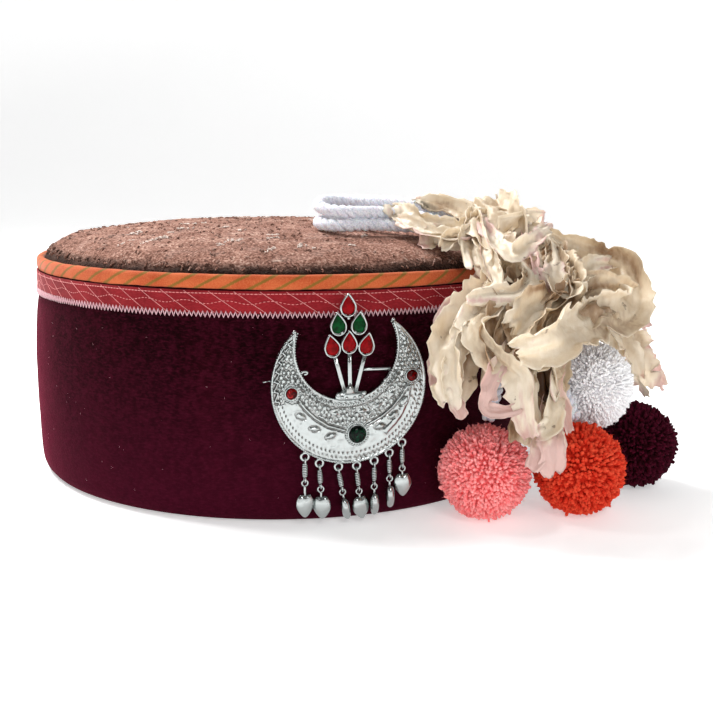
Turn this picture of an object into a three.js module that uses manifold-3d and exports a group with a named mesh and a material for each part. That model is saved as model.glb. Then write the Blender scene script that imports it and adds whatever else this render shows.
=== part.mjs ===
// A himachali cap: a low round wool cap with a turned-up velvet band, a ribbon and an orange
// binding round its rim, a silver crescent brooch with seven heart drops pinned to the front,
// and two doubled white cords laid on the crown, which carry a plume of papery petals and
// four wool pompoms beside the cap. Units are millimetres, +Z is up, and the cap rests on z = 0
// with its front towards -Y.

import * as THREE from 'three';
import { mergeVertices } from 'three/addons/utils/BufferGeometryUtils.js';
import Module from 'manifold-3d';

const wasm = await Module();
wasm.setup();

// ---------------------------------------------------------------- driving dimensions

const BAND_RADIUS = 94;          // outside of the velvet under the ribbon
const BAND_BULGE = 1.4;          // how far its middle swells past that
const FOOT_RADIUS = 86;          // outer edge of the flat ring that the cap stands on
const FOOT_WIDTH = 3;
const VELVET_THICKNESS = 1.8;
const VELVET_TOP = 77.2;
const WOOL_THICKNESS = 2.2;
const WALL_RADIUS = 91.8;        // outside of the wool wall behind the velvet
const SHOULDER_OUTER = 91.3;     // where the wool leans in, clear of the binding
const SHOULDER_RADIUS = 75;      // where the flat top meets the rounded shoulder
const SHOULDER_BASE = 78;
const SHOULDER_POWER = 2.5;      // above 2, fuller than an ellipse
const SHOULDER_HEIGHT = 89;
const CROWN_HEIGHT = 92.5;
const RIBBON = { low: 67.9, high: 75, thickness: 1 };
const BINDING = { low: 75.3, high: 80.6, inner: 91.7, outer: 95.5, thickness: 1.1 };
const GAP = 0.3;
const RING_SIDES = 36;

const BROOCH_TURN = THREE.MathUtils.degToRad(16.3);   // round the cap, towards +X
const BROOCH_HEIGHT = 45.6;                           // centre of the crescent's outer circle
const BROOCH_BACK = 4;                                // back of the silver, out from the band
const CRESCENT = { outer: 24.5, inner: 16.4, offset: 12.2, reach: 139, lean: 4.5 };
const PLATE = 1;
const RELIEF = 0.9;
const STONE_HEIGHT = 0.9;
const LOOP = { radius: 1.25, wire: 0.4 };
const EYE = { radius: 0.95, wire: 0.3 };
const LINK_LENGTH = 4.4;
const LINK_RADIUS = 1.05;
const HEART = { width: 5.8, height: 8.4, depth: 1.5 };

const CORD_DIAMETER = 4.2;
const CORD_SIDES = 8;
const CORD_STEPS = 30;
const POMPOM_RADIUS = 15.6;
const LOCK_HEIGHT = 1.7;
const PETAL_THICKNESS = 1.5;

const FRAME_SHIFT = 3.5;         // moves the cap so that the origin is under the box's middle

// ---------------------------------------------------------------- colours

const COLOURS = {
  wool: { color: 0x7a5247, roughness: 0.95, metalness: 0 },
  velvet: { color: 0x3a0a1c, roughness: 0.9, metalness: 0 },
  ribbon: { color: 0xa82638, roughness: 0.7, metalness: 0 },
  binding: { color: 0xd2693a, roughness: 0.75, metalness: 0 },
  silver: { color: 0xd9d9dc, roughness: 0.25, metalness: 1 },
  ruby: { color: 0xb01020, roughness: 0.15, metalness: 0 },
  emerald: { color: 0x0b5a3a, roughness: 0.15, metalness: 0 },
  cord: { color: 0xe9eaf2, roughness: 0.9, metalness: 0 },
  petal: { color: 0xdcc9a4, roughness: 0.8, metalness: 0 },
  coral: { color: 0xf2626f, roughness: 0.95, metalness: 0 },
  orange: { color: 0xd8381c, roughness: 0.95, metalness: 0 },
  white: { color: 0xdfdde2, roughness: 0.95, metalness: 0 },
  maroon: { color: 0x350716, roughness: 0.95, metalness: 0 },
};

// ---------------------------------------------------------------- small helpers

const vec = (x, y, z) => new THREE.Vector3(x, y, z);

function part(name, geometry, colour) {
  const mesh = new THREE.Mesh(geometry, new THREE.MeshStandardMaterial(COLOURS[colour]));
  mesh.name = name;
  return mesh;
}

// The same surface with shared vertices and nothing but positions.
function welded(geometry) {
  const copy = geometry.clone();
  for (const key of ['normal', 'uv']) copy.deleteAttribute(key);
  return mergeVertices(copy, 1e-4);
}

function signedVolume(geometry) {
  const place = geometry.attributes.position;
  const corner = (i) => vec(0, 0, 0).fromBufferAttribute(place, geometry.index.getX(i));
  let sum = 0;
  for (let i = 0; i < geometry.index.count; i += 3) {
    sum += corner(i).dot(corner(i + 1).cross(corner(i + 2)));
  }
  return sum / 6;
}

// A welded copy whose faces point out of the solid.
function outward(geometry) {
  const solid = welded(geometry);
  if (signedVolume(solid) > 0) return solid;
  const index = solid.index.array;
  for (let i = 0; i < index.length; i += 3) [index[i], index[i + 1]] = [index[i + 1], index[i]];
  return solid;
}

function toManifold(geometry) {
  const solid = outward(geometry);
  return new wasm.Manifold(new wasm.Mesh({
    numProp: 3,
    vertProperties: new Float32Array(solid.attributes.position.array),
    triVerts: new Uint32Array(solid.index.array),
  }));
}

function fromManifold(manifold) {
  const mesh = manifold.getMesh();
  const geometry = new THREE.BufferGeometry();
  geometry.setAttribute('position', new THREE.BufferAttribute(mesh.vertProperties, 3));
  geometry.setIndex(new THREE.BufferAttribute(mesh.triVerts, 1));
  return geometry;
}

function fused(pieces) {
  return pieces.map(toManifold).reduce((whole, piece) => whole.add(piece));
}

// A solid through rings of points, closed by a fan at each end.
function loft(rings) {
  const sides = rings[0].length;
  const points = rings.flat();
  const faces = [];
  for (let r = 0; r + 1 < rings.length; r += 1) {
    for (let s = 0; s < sides; s += 1) {
      const a = r * sides + s;
      const b = r * sides + (s + 1) % sides;
      faces.push(a, b, a + sides, b, b + sides, a + sides);
    }
  }
  for (const [ring, flip] of [[0, true], [rings.length - 1, false]]) {
    const middle = rings[ring].reduce((sum, p) => sum.add(p), vec(0, 0, 0));
    points.push(middle.divideScalar(sides));
    for (let s = 0; s < sides; s += 1) {
      const a = ring * sides + s;
      const b = ring * sides + (s + 1) % sides;
      faces.push(...(flip ? [b, a, points.length - 1] : [a, b, points.length - 1]));
    }
  }
  const geometry = new THREE.BufferGeometry().setFromPoints(points);
  geometry.setIndex(faces);
  return geometry;
}

// A solid turned round the cap's axis from [radius, height] points.
function turned(profile) {
  const points = profile.map(([radius, height]) => new THREE.Vector2(radius, height));
  return outward(new THREE.LatheGeometry(points, RING_SIDES).rotateX(Math.PI / 2));
}

// ---------------------------------------------------------------- the cap

// Height of the top of the crown over a radius: a shallow dome, then a rounded shoulder.
function crownTop(radius) {
  if (radius <= SHOULDER_RADIUS) {
    return CROWN_HEIGHT - (CROWN_HEIGHT - SHOULDER_HEIGHT) * (radius / SHOULDER_RADIUS) ** 2;
  }
  const across = (radius - SHOULDER_RADIUS) / (SHOULDER_OUTER - SHOULDER_RADIUS);
  const rise = (1 - across ** SHOULDER_POWER) ** (1 / SHOULDER_POWER);
  return SHOULDER_BASE + (SHOULDER_HEIGHT - SHOULDER_BASE) * rise;
}

function woolCrown() {
  const foot = 8.3;
  const shoulderStops = [1, 0.97, 0.84, 0.5];
  const span = SHOULDER_OUTER - SHOULDER_RADIUS;
  const shoulder = shoulderStops.map((t) => SHOULDER_RADIUS + span * t);
  const outer = [
    [WALL_RADIUS, foot],
    ...[...shoulder, SHOULDER_RADIUS, 40, 0].map((r) => [r, crownTop(r)]),
  ];
  const inside = WALL_RADIUS - WOOL_THICKNESS;
  const inner = [
    [0, CROWN_HEIGHT - WOOL_THICKNESS],
    [SHOULDER_RADIUS - 1, SHOULDER_HEIGHT - WOOL_THICKNESS],
    [SHOULDER_RADIUS + 8, crownTop(SHOULDER_RADIUS + 9) - WOOL_THICKNESS],
    [SHOULDER_OUTER - WOOL_THICKNESS - 0.4, SHOULDER_BASE + 2],
    [inside, foot],
    [WALL_RADIUS, foot],
  ];
  return part('wool_crown', turned([...outer, ...inner]), 'wool');
}

function velvetBand() {
  const foot = FOOT_RADIUS;
  const inside = BAND_RADIUS - VELVET_THICKNESS;
  const profile = [
    [foot - FOOT_WIDTH, 0],
    [foot, 0],
    [foot + 4, 1.3],
    [foot + 6.8, 4.2],
    [BAND_RADIUS + 0.2, 11],
    [BAND_RADIUS + BAND_BULGE, 36],
    [BAND_RADIUS + 1, 56],
    [BAND_RADIUS, RIBBON.low - 1],
    [BAND_RADIUS, VELVET_TOP],
    [inside, VELVET_TOP],
    [inside, 8],
    [foot + 3, 3.6],
    [foot - FOOT_WIDTH, 2.2],
    [foot - FOOT_WIDTH, 0],
  ];
  return part('velvet_band', turned(profile), 'velvet');
}

function redRibbon() {
  const inner = BAND_RADIUS + GAP / 2;
  const outer = inner + RIBBON.thickness;
  const profile = [
    [inner, RIBBON.low], [outer, RIBBON.low], [outer, RIBBON.high], [inner, RIBBON.high],
    [inner, RIBBON.low],
  ];
  return part('red_ribbon', turned(profile), 'ribbon');
}

// The folded strip that closes over the top edge of the velvet.
function orangeBinding() {
  const { low, high, inner, outer, thickness } = BINDING;
  const profile = [
    [outer - thickness, low], [outer - 0.2, low], [outer, high - 1.8], [outer - 1.1, high],
    [inner + 1, high], [inner, high - 1.4], [inner, VELVET_TOP + GAP],
    [outer - thickness, VELVET_TOP + GAP], [outer - thickness, low],
  ];
  return part('orange_binding', turned(profile), 'binding');
}

// ---------------------------------------------------------------- the brooch
// Its own axes are x to the right, y up and z out from the band, from the middle of the
// crescent's outer circle.

// Across the crescent from its outer edge to its inner one: share of the width, and height.
const CRESCENT_SECTION = [
  { across: 0, height: 0.9 }, { across: 0.02, height: 1.8 }, { across: 0.07, height: 1.15 },
  { across: 0.5, height: 1.75 }, { across: 0.93, height: 1.15 }, { across: 0.98, height: 1.7 },
  { across: 1, height: 0.9 }, { across: 1, height: 0 }, { across: 0, height: 0 },
];

function crescentEdges(share) {
  const { outer, inner, offset, reach } = CRESCENT;
  const half = THREE.MathUtils.degToRad(reach);
  const turn = half * share;
  const innerTurn = turn * 0.817;
  return {
    outside: vec(outer * Math.sin(turn), -outer * Math.cos(turn), 0),
    inside: vec(inner * Math.sin(innerTurn), offset - inner * Math.cos(innerTurn), 0),
  };
}

function crescentPlate() {
  const steps = 24;
  const rings = [];
  for (let i = 0; i <= steps; i += 1) {
    const { outside, inside } = crescentEdges((2 * i) / steps - 1);
    rings.push(CRESCENT_SECTION.map(({ across, height }) => {
      const point = outside.clone().lerp(inside, across);
      return point.setZ(BROOCH_BACK + height);
    }));
  }
  return loft(rings).rotateZ(THREE.MathUtils.degToRad(CRESCENT.lean));
}

// Leaves embossed along the crescent: place, and the slope of the leaf in degrees.
const LEAVES = [
  { x: -15.7, y: -8.7, slope: -62 }, { x: -11.2, y: -12.9, slope: -48 },
  { x: -6, y: -15.6, slope: -32 }, { x: 10, y: -13.7, slope: 42 },
  { x: 14.5, y: -10.3, slope: 54 }, { x: 17.9, y: -5.8, slope: 68 },
];

function leaf({ x, y, slope }) {
  return new THREE.SphereGeometry(1, 6, 3)
    .scale(3, 1.25, RELIEF)
    .rotateZ(THREE.MathUtils.degToRad(slope))
    .translate(x, y, BROOCH_BACK + PLATE + 0.5);
}

const STONES = [
  { name: 'stone_red_left', x: -18.7, y: -1.5, radius: 1.8, colour: 'ruby' },
  { name: 'stone_red_right', x: 20.4, y: 2.5, radius: 1.8, colour: 'ruby' },
  { name: 'stone_green', x: 2.5, y: -15.6, radius: 2.8, colour: 'emerald' },
];
const BEZEL_WALL = 0.6;
const BEZEL_FLOOR = BROOCH_BACK + PLATE + 0.3;
const BEZEL_TOP = BEZEL_FLOOR + 1.4;

function drum(radius, low, high, sides, { x, y }) {
  return new THREE.CylinderGeometry(radius, radius, high - low, sides)
    .rotateX(Math.PI / 2)
    .translate(x, y, (low + high) / 2);
}

function roundStone({ name, x, y, radius, colour }) {
  const sides = 10;
  const low = BEZEL_FLOOR + GAP;
  const rings = [
    { size: radius, height: low }, { size: radius, height: low + STONE_HEIGHT },
    { size: radius * 0.55, height: low + STONE_HEIGHT + radius * 0.35 },
  ].map(({ size, height }) => Array.from({ length: sides }, (_, i) => {
    const turn = (2 * Math.PI * i) / sides;
    return vec(x + size * Math.cos(turn), y + size * Math.sin(turn), height);
  }));
  return part(name, outward(loft(rings)), colour);
}

// A drop outline with its point up, as a ring of points.
function dropRing(width, height, sides, z) {
  return Array.from({ length: sides }, (_, i) => {
    const turn = (2 * Math.PI * i) / sides;
    const rise = -Math.cos(turn);
    const narrow = 1 - 0.42 * (rise + 1) ** 1.2 / 2 ** 0.2;
    return vec((width / 2) * Math.sin(turn) * narrow * 1.12, (height / 2) * rise, z);
  });
}

// The fan of enamel drops: place, lean in degrees and colour.
const DROPS = [
  { name: 'enamel_top', x: -0.6, y: 25.5, lean: 0, colour: 'ruby' },
  { name: 'enamel_upper_left', x: -3.8, y: 19.7, lean: 6, colour: 'emerald' },
  { name: 'enamel_upper_right', x: 3, y: 19.8, lean: -6, colour: 'emerald' },
  { name: 'enamel_lower_left', x: -5.8, y: 12.9, lean: 12, colour: 'ruby' },
  { name: 'enamel_lower_middle', x: -0.2, y: 13.9, lean: 0, colour: 'ruby' },
  { name: 'enamel_lower_right', x: 5.5, y: 13.1, lean: -12, colour: 'ruby' },
];
const DROP = { width: 5.2, height: 8, wall: 0.6, sides: 8 };
const SPRAY_BACK = BROOCH_BACK + 0.6;
const SPRAY_FLOOR = SPRAY_BACK + 0.6;
const SPRAY_TOP = SPRAY_FLOOR + 0.9;

function placedDrop(geometry, { x, y, lean }) {
  return geometry.rotateZ(THREE.MathUtils.degToRad(lean)).translate(x, y, 0);
}

function dropCup(drop) {
  const { width, height, sides } = DROP;
  const rings = [SPRAY_BACK, SPRAY_TOP].map((z) => dropRing(width, height, sides, z));
  return placedDrop(loft(rings), drop);
}

function dropPocket(drop) {
  const { width, height, wall, sides } = DROP;
  const rings = [SPRAY_FLOOR, SPRAY_TOP + 1]
    .map((z) => dropRing(width - 2 * wall, height - 2.6 * wall, sides, z));
  return placedDrop(loft(rings), drop);
}

function enamelDrop(drop) {
  const { width, height, wall, sides } = DROP;
  const trim = 2 * wall + 0.5;
  const rings = [
    { trim, z: SPRAY_FLOOR + 0.25 }, { trim, z: SPRAY_TOP - 0.1 }, { trim: trim + 1.3, z: SPRAY_TOP + 0.3 },
  ].map(({ trim: cut, z }) => dropRing(width - cut, height - 1.3 * cut, sides, z));
  return part(drop.name, outward(placedDrop(loft(rings), drop)), drop.colour);
}

// A flat bar between two points of the brooch's face.
function bar(from, to, width, low, high) {
  const along = Math.atan2(to.y - from.y, to.x - from.x);
  const length = Math.hypot(to.x - from.x, to.y - from.y);
  return new THREE.BoxGeometry(length, width, high - low)
    .rotateZ(along)
    .translate((from.x + to.x) / 2, (from.y + to.y) / 2, (low + high) / 2);
}

function bead({ x, y }, radius, z) {
  return new THREE.SphereGeometry(radius, 5, 4).translate(x, y, z);
}

function sprayFrame() {
  const foot = [{ x: -1.6, y: -2 }, { x: 0, y: -2 }, { x: 1.6, y: -2 }];
  const tops = [{ x: -5, y: 9.6 }, { x: -0.2, y: 10.8 }, { x: 4.7, y: 9.8 }];
  const stems = foot.map((from, i) => bar(from, tops[i], 0.9, SPRAY_BACK, SPRAY_FLOOR + 0.3));
  const joints = [{ x: -2.3, y: 16.8 }, { x: 1.6, y: 16.9 }, { x: -0.5, y: 21.4 }];
  const beads = joints.map((place) => bead(place, 1, SPRAY_FLOOR));
  const rods = [
    [{ x: -0.3, y: 13 }, { x: -0.6, y: 23 }], [{ x: -3.8, y: 18 }, { x: 3, y: 18 }],
    [{ x: -5.8, y: 12.5 }, { x: 5.5, y: 12.5 }],
  ].map(([from, to]) => bar(from, to, 0.8, SPRAY_BACK, SPRAY_FLOOR));
  const base = bar({ x: -4.6, y: -3.2 }, { x: 4.6, y: -3.2 }, 3.4, SPRAY_BACK, SPRAY_FLOOR + 0.6);
  const studs = [-3.6, -1.2, 1.2, 3.6].map((x) => bead({ x, y: -3.1 }, 1.2, SPRAY_FLOOR + 0.5));
  return [...stems, ...rods, ...beads, base, ...studs];
}

// Where the drops hang: turn along the lower edge in degrees, and the drop's own figures.
const DANGLES = [
  { turn: -33, length: 15.6, heartTurn: 8, lean: 0 },
  { turn: -21.5, length: 14.2, heartTurn: -25, lean: 3.5 },
  { turn: -7.5, length: 13.7, heartTurn: 80, lean: 11 },
  { turn: 5.5, length: 13.6, heartTurn: 14, lean: 7 },
  { turn: 18.5, length: 13.8, heartTurn: 82, lean: 1 },
  { turn: 30.5, length: 14, heartTurn: 80, lean: 2 },
  { turn: 42, length: 13.6, heartTurn: 0, lean: 2 },
];
const LOOP_PLANE = BROOCH_BACK + 0.7;

function loopCentre(turn) {
  const angle = THREE.MathUtils.degToRad(turn);
  const reach = CRESCENT.outer + 1.25;
  return vec(reach * Math.sin(angle), -reach * Math.cos(angle), LOOP_PLANE);
}

function edgeLoop({ turn }) {
  const centre = loopCentre(turn);
  return new THREE.TorusGeometry(LOOP.radius, LOOP.wire, 3, 6)
    .translate(centre.x, centre.y, centre.z);
}

function broochBody() {
  const raised = STONES.map((stone) =>
    drum(stone.radius + GAP + BEZEL_WALL, BROOCH_BACK + 0.3, BEZEL_TOP, 10, stone));
  const pockets = STONES.map((stone) =>
    drum(stone.radius + GAP, BEZEL_FLOOR, BEZEL_TOP + 2, 10, stone));
  const cups = DROPS.map(dropCup);
  const loops = DANGLES.map(edgeLoop);
  const metal = fused([
    crescentPlate(), ...LEAVES.map(leaf), ...raised, ...sprayFrame(), ...cups, ...loops,
  ]);
  return part('brooch_crescent', fromManifold(
    metal.subtract(fused([...pockets, ...DROPS.map(dropPocket)]))), 'silver');
}

// The pin behind the crescent, with its hinge block and its catch, as one plain piece.
function broochPin() {
  const hinge = vec(17.5, 4.9, 3);
  const tip = vec(-27.3, 2.8, 0.6);
  const wire = new THREE.ExtrudeGeometry(ngon(0.5, 6), {
    steps: 1, bevelEnabled: false, extrudePath: new THREE.LineCurve3(hinge, tip),
  });
  const high = BROOCH_BACK - GAP;
  const block = new THREE.BoxGeometry(3.2, 4, 1.6).translate(hinge.x, hinge.y, high - 0.8);
  const catchBlock = new THREE.BoxGeometry(1.6, 3, 3)
    .translate(-20.5, 3.1, high - 1.5);
  return part('brooch_pin', fromManifold(fused([wire, block, catchBlock])), 'silver');
}

function ngon(radius, sides) {
  const shape = new THREE.Shape();
  for (let i = 0; i < sides; i += 1) {
    const turn = (2 * Math.PI * (i + 0.5)) / sides;
    const [x, y] = [radius * Math.cos(turn), radius * Math.sin(turn)];
    if (i === 0) shape.moveTo(x, y);
    else shape.lineTo(x, y);
  }
  shape.closePath();
  return shape;
}

// Half rings of wire at each end of a wound link, standing across the crescent's own loops.
function woundLink(index) {
  const eyeDrop = EYE.radius + EYE.wire;
  const top = -eyeDrop + 0.35;
  const eye = () => new THREE.TorusGeometry(EYE.radius, EYE.wire, 3, 5).rotateY(Math.PI / 2);
  const barrel = new THREE.CylinderGeometry(LINK_RADIUS, LINK_RADIUS, LINK_LENGTH, 6)
    .translate(0, top - LINK_LENGTH / 2, 0);
  const lower = eye().translate(0, top - LINK_LENGTH - EYE.radius + 0.1, 0);
  return part(`link_${index}`, fromManifold(fused([eye(), barrel, lower])), 'silver');
}

function heartRing(scale, z) {
  const sides = 10;
  return Array.from({ length: sides }, (_, i) => {
    const t = (2 * Math.PI * i) / sides;
    const x = Math.sin(t) ** 3;
    const y = (13 * Math.cos(t) - 5 * Math.cos(2 * t) - 2 * Math.cos(3 * t) - Math.cos(4 * t)) / 17;
    return vec(x * scale * HEART.width / 2, y * scale * HEART.height / 1.75, z);
  });
}

function heart(index, { length, heartTurn }) {
  const body = loft([
    heartRing(0.5, -HEART.depth), heartRing(1, 0), heartRing(0.5, HEART.depth),
  ]).rotateY(THREE.MathUtils.degToRad(heartTurn));
  const ringTop = length - LINK_LENGTH - 4.15;
  const ring = new THREE.TorusGeometry(EYE.radius, EYE.wire, 3, 5).translate(0, ringTop, 0);
  const neck = new THREE.CylinderGeometry(0.45, 0.45, ringTop - 1.2, 4)
    .translate(0, (ringTop - EYE.radius + 1.2 + 0.2) / 2, 0);
  return part(`heart_${index}`, fromManifold(fused([body, ring, neck])), 'silver');
}

// One drop, hung from its loop: the link stands across the loop and the heart across the link.
function dangle(row, i) {
  const hung = new THREE.Group();
  const centre = loopCentre(row.turn);
  hung.position.set(centre.x, centre.y - LOOP.radius - 0.1, centre.z);
  hung.rotation.z = THREE.MathUtils.degToRad(row.lean);
  const link = woundLink(i + 1);
  const drop = heart(i + 1, row);
  drop.position.y = -row.length + LOOP.radius;
  hung.add(link, drop);
  return hung;
}

function brooch() {
  const face = new THREE.Group();
  face.rotation.x = Math.PI / 2;
  face.position.set(0, -BAND_RADIUS, BROOCH_HEIGHT);
  face.add(broochBody(), broochPin());
  for (const stone of STONES) face.add(roundStone(stone));
  for (const drop of DROPS) face.add(enamelDrop(drop));
  DANGLES.forEach((row, i) => face.add(dangle(row, i)));
  const placed = new THREE.Group();
  placed.rotation.z = BROOCH_TURN;
  placed.add(face);
  return placed;
}

// ---------------------------------------------------------------- cords and pompoms

// Each cord runs from one pompom over the rim, folds back on the crown and returns.
const CORD_ROUTES = {
  cord_low: [
    [73.2, -80.6, 32.1], [75.6, -75.5, 37.5], [78.2, -68.5, 47], [79.4, -62, 60],
    [80.2, -58.6, 74], [78.4, -56.6, 83.2], [72.5, -54.6, 89.6], [62, -52.4, 92.2],
    [48, -51, 92.9], [37, -50.4, 93.3], [30.6, -53, 93.4], [24.4, -54.8, 93.2],
    [18.4, -52.4, 93.4], [15.9, -46.5, 93.9], [18.4, -40.6, 94.1], [24.4, -38.2, 94.1],
    [30.8, -40.2, 94.1], [37.4, -43, 93.9], [48, -43, 93.5], [62, -38.8, 92.9],
    [74, -36.8, 91.5], [84, -36.4, 88.2], [91, -38, 82.4], [95.8, -39.2, 74],
    [100.5, -39.8, 64], [108.5, -40.4, 52.5], [117, -42.4, 42.5], [124.5, -45.4, 33.5],
  ],
  cord_high: [
    [102.4, -77, 31.7], [100.4, -72.2, 37], [95.8, -64.4, 48], [90.6, -57.6, 61],
    [86.8, -53, 74], [83.2, -50.4, 83], [76.4, -48.8, 89.6], [64, -47.7, 92.8],
    [54, -47.4, 95.3], [44, -47.7, 97.2], [37, -48.6, 97.5], [30.6, -51.8, 97.7],
    [24.2, -53.6, 97.9], [18.2, -51.2, 98.6], [15.8, -45.2, 99.9], [18.2, -39.3, 101],
    [24.2, -36.9, 101.2], [30.8, -38.8, 101], [37.6, -41.6, 100.9], [46, -43, 100],
    [56, -44, 98], [66, -44, 95.6], [76, -43.2, 92.6], [86, -43.4, 88],
    [94, -45, 82], [101, -47, 76.5], [107, -50, 69.5], [110.4, -54.4, 61.5],
    [111.2, -57.6, 55.4],
  ],
};

function cordTube(name, diameter) {
  const route = new THREE.CatmullRomCurve3(
    CORD_ROUTES[name].map(([x, y, z]) => vec(x, y, z)), false, 'centripetal');
  return new THREE.ExtrudeGeometry(ngon(diameter / 2, CORD_SIDES), {
    steps: CORD_STEPS, bevelEnabled: false, extrudePath: route,
  });
}

function cord(name) {
  return part(name, outward(cordTube(name, CORD_DIAMETER)), 'cord');
}

const POMPOMS = [
  { name: 'pompom_coral', at: [71.9, -85.6, 15.7], size: [1, 1, 1], colour: 'coral' },
  { name: 'pompom_orange', at: [103.7, -80.5, 15.7], size: [1, 1, 1], colour: 'orange' },
  { name: 'pompom_maroon', at: [129.6, -49, 15.7], size: [1, 1, 1], colour: 'maroon' },
  { name: 'pompom_white', at: [111.6, -60, 39.4], size: [0.9, 0.9, 0.98], colour: 'white' },
];

// A ball whose every third corner stands up as a blunt lock of yarn.
function pompom({ name, at, size, colour }) {
  const ball = welded(new THREE.IcosahedronGeometry(POMPOM_RADIUS, 3));
  const place = ball.attributes.position;
  const tuft = vec(0, 0, 0);
  for (let i = 0; i < place.count; i += 1) {
    const sunk = i % 3 === 0 ? 0 : LOCK_HEIGHT * (i % 3 === 1 ? 1 : 0.45);
    tuft.fromBufferAttribute(place, i).setLength(POMPOM_RADIUS - sunk);
    place.setXYZ(i, tuft.x * size[0], tuft.y * size[1], tuft.z * size[2]);
  }
  const mesh = part(name, outward(ball), colour);
  mesh.position.set(...at);
  return mesh;
}

// ---------------------------------------------------------------- the petal plume

// The twisted stalk that all petals are tied to, from the crown over the rim and down.
const STALK = [
  [58, -40, 103], [72, -44, 99], [86, -52, 94], [97, -64, 85], [100, -76, 71], [96, -86, 57],
  [92, -93, 45],
];
const STALK_RADIUS = 1.6;

// How far in front of the cap's axis the middle of the plume hangs at each height. To the right
// of DRAPE_SIDE it falls back by as much as it goes out.
const DRAPE = [
  { z: 20, out: 109 }, { z: 45, out: 106 }, { z: 60, out: 100 }, { z: 75, out: 88 },
  { z: 90, out: 66 }, { z: 105, out: 32 },
];
const DRAPE_SIDE = 85;
const LAYERS = { behind: -16, back: -6, middle: 0, front: 4 };

// Petals: share of the stalk where each is tied, where it bends over (right and up), which way
// it runs on from there in degrees from straight up towards the right, how far, its layer,
// which way its face turns (right and up), and its width.
const PETALS = [
  { tied: 0.15, x: 62, z: 100, heading: -75, length: 14, layer: 'middle', face: [0.1, 0.7], width: 8 },
  { tied: 0.25, x: 58, z: 91, heading: -80, length: 18, layer: 'middle', face: [0, 0.7], width: 12 },
  { tied: 0.25, x: 58, z: 88, heading: -105, length: 9, layer: 'back', face: [0.1, 0.7], width: 10 },
  { tied: 0.25, x: 83, z: 96, heading: -20, length: 9, layer: 'back', face: [-0.3, 0.1], width: 15 },
  { tied: 0.20, x: 74, z: 84, heading: 165, length: 10, layer: 'middle', face: [0, 0.3], width: 17 },
  { tied: 0.40, x: 102, z: 87, heading: 120, length: 17, layer: 'behind', face: [0.2, 0.6], width: 18 },
  { tied: 0.30, x: 89, z: 84, heading: 150, length: 9, layer: 'behind', face: [0.2, 0.3], width: 14 },
  { tied: 0.50, x: 100, z: 74, heading: 90, length: 20, layer: 'front', face: [-0.1, 0.5], width: 24 },
  { tied: 0.65, x: 104, z: 62, heading: 90, length: 26, layer: 'front', face: [0, 0.5], width: 15 },
  { tied: 0.40, x: 130, z: 50, heading: 165, length: 21, layer: 'behind', face: [0.6, 0.2], width: 15 },
  { tied: 0.40, x: 137, z: 46, heading: 150, length: 14, layer: 'behind', face: [0.6, 0.3], width: 8 },
  { tied: 0.40, x: 56, z: 62, heading: 185, length: 22, layer: 'back', face: [-0.5, 0.1], width: 12 },
  { tied: 0.50, x: 64, z: 71, heading: 195, length: 22, layer: 'middle', face: [-0.1, 0.2], width: 18 },
  { tied: 0.60, x: 62, z: 52, heading: 185, length: 16, layer: 'middle', face: [-0.2, 0], width: 16 },
  { tied: 0.75, x: 68, z: 44, heading: 95, length: 8, layer: 'middle', face: [0.3, 0.1], width: 8 },
  { tied: 0.55, x: 76, z: 56, heading: 165, length: 24, layer: 'front', face: [-0.4, 0.1], width: 14 },
  { tied: 0.70, x: 91, z: 47, heading: 200, length: 17, layer: 'middle', face: [0.3, 0], width: 16 },
  { tied: 0.95, x: 90, z: 32, heading: 180, length: 10, layer: 'middle', face: [0.1, 0], width: 14 },
  { tied: 0.45, x: 79, z: 65, heading: 205, length: 13, layer: 'back', face: [0, 0.2], width: 25 },
  { tied: 0.70, x: 94, z: 58, heading: 90, length: 9, layer: 'middle', face: [0.3, -0.1], width: 15 },
  { tied: 0.40, x: 112, z: 68, heading: 130, length: 16, layer: 'behind', face: [0.3, 0.4], width: 20 },
  { tied: 0.40, x: 111, z: 76, heading: 80, length: 13, layer: 'behind', face: [0, 0.7], width: 15 },
];

const PETAL_STATIONS = [
  { at: 0, wide: 0.35 }, { at: 0.4, wide: 1 }, { at: 0.78, wide: 0.85 }, { at: 1, wide: 0.25 },
];

// The point of a layer of the plume that lies at that place.
function draped(x, z, layer) {
  const low = Math.max(DRAPE.slice(0, -1).findLastIndex((row) => row.z <= z), 0);
  const [below, above] = [DRAPE[low], DRAPE[low + 1]];
  const share = (z - below.z) / (above.z - below.z);
  const out = THREE.MathUtils.lerp(below.out, above.out, share) + LAYERS[layer];
  return vec(x, Math.max(x - DRAPE_SIDE, 0) - out, z);
}

// A strip folded a little along its middle, which widens from the stalk and narrows to its tip.
function petal(stalk, { tied, x, z, heading, length, layer, face, width }) {
  const way = THREE.MathUtils.degToRad(heading);
  const tip = draped(x + length * Math.sin(way), z + length * Math.cos(way), layer);
  const spine = new THREE.QuadraticBezierCurve3(stalk.getPoint(tied), draped(x, z, layer), tip);
  const normal = vec(face[0], -1, face[1]).normalize();
  return loft(PETAL_STATIONS.map(({ at, wide }) => {
    const along = spine.getTangent(at);
    const side = along.clone().cross(normal).normalize();
    const lift = side.clone().cross(along).normalize();
    return [[-0.5, 0], [0.5, 0], [0, 1]].map(([across, up]) => spine.getPoint(at)
      .addScaledVector(side, across * wide * width)
      .addScaledVector(lift, up * PETAL_THICKNESS));
  }));
}

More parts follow.
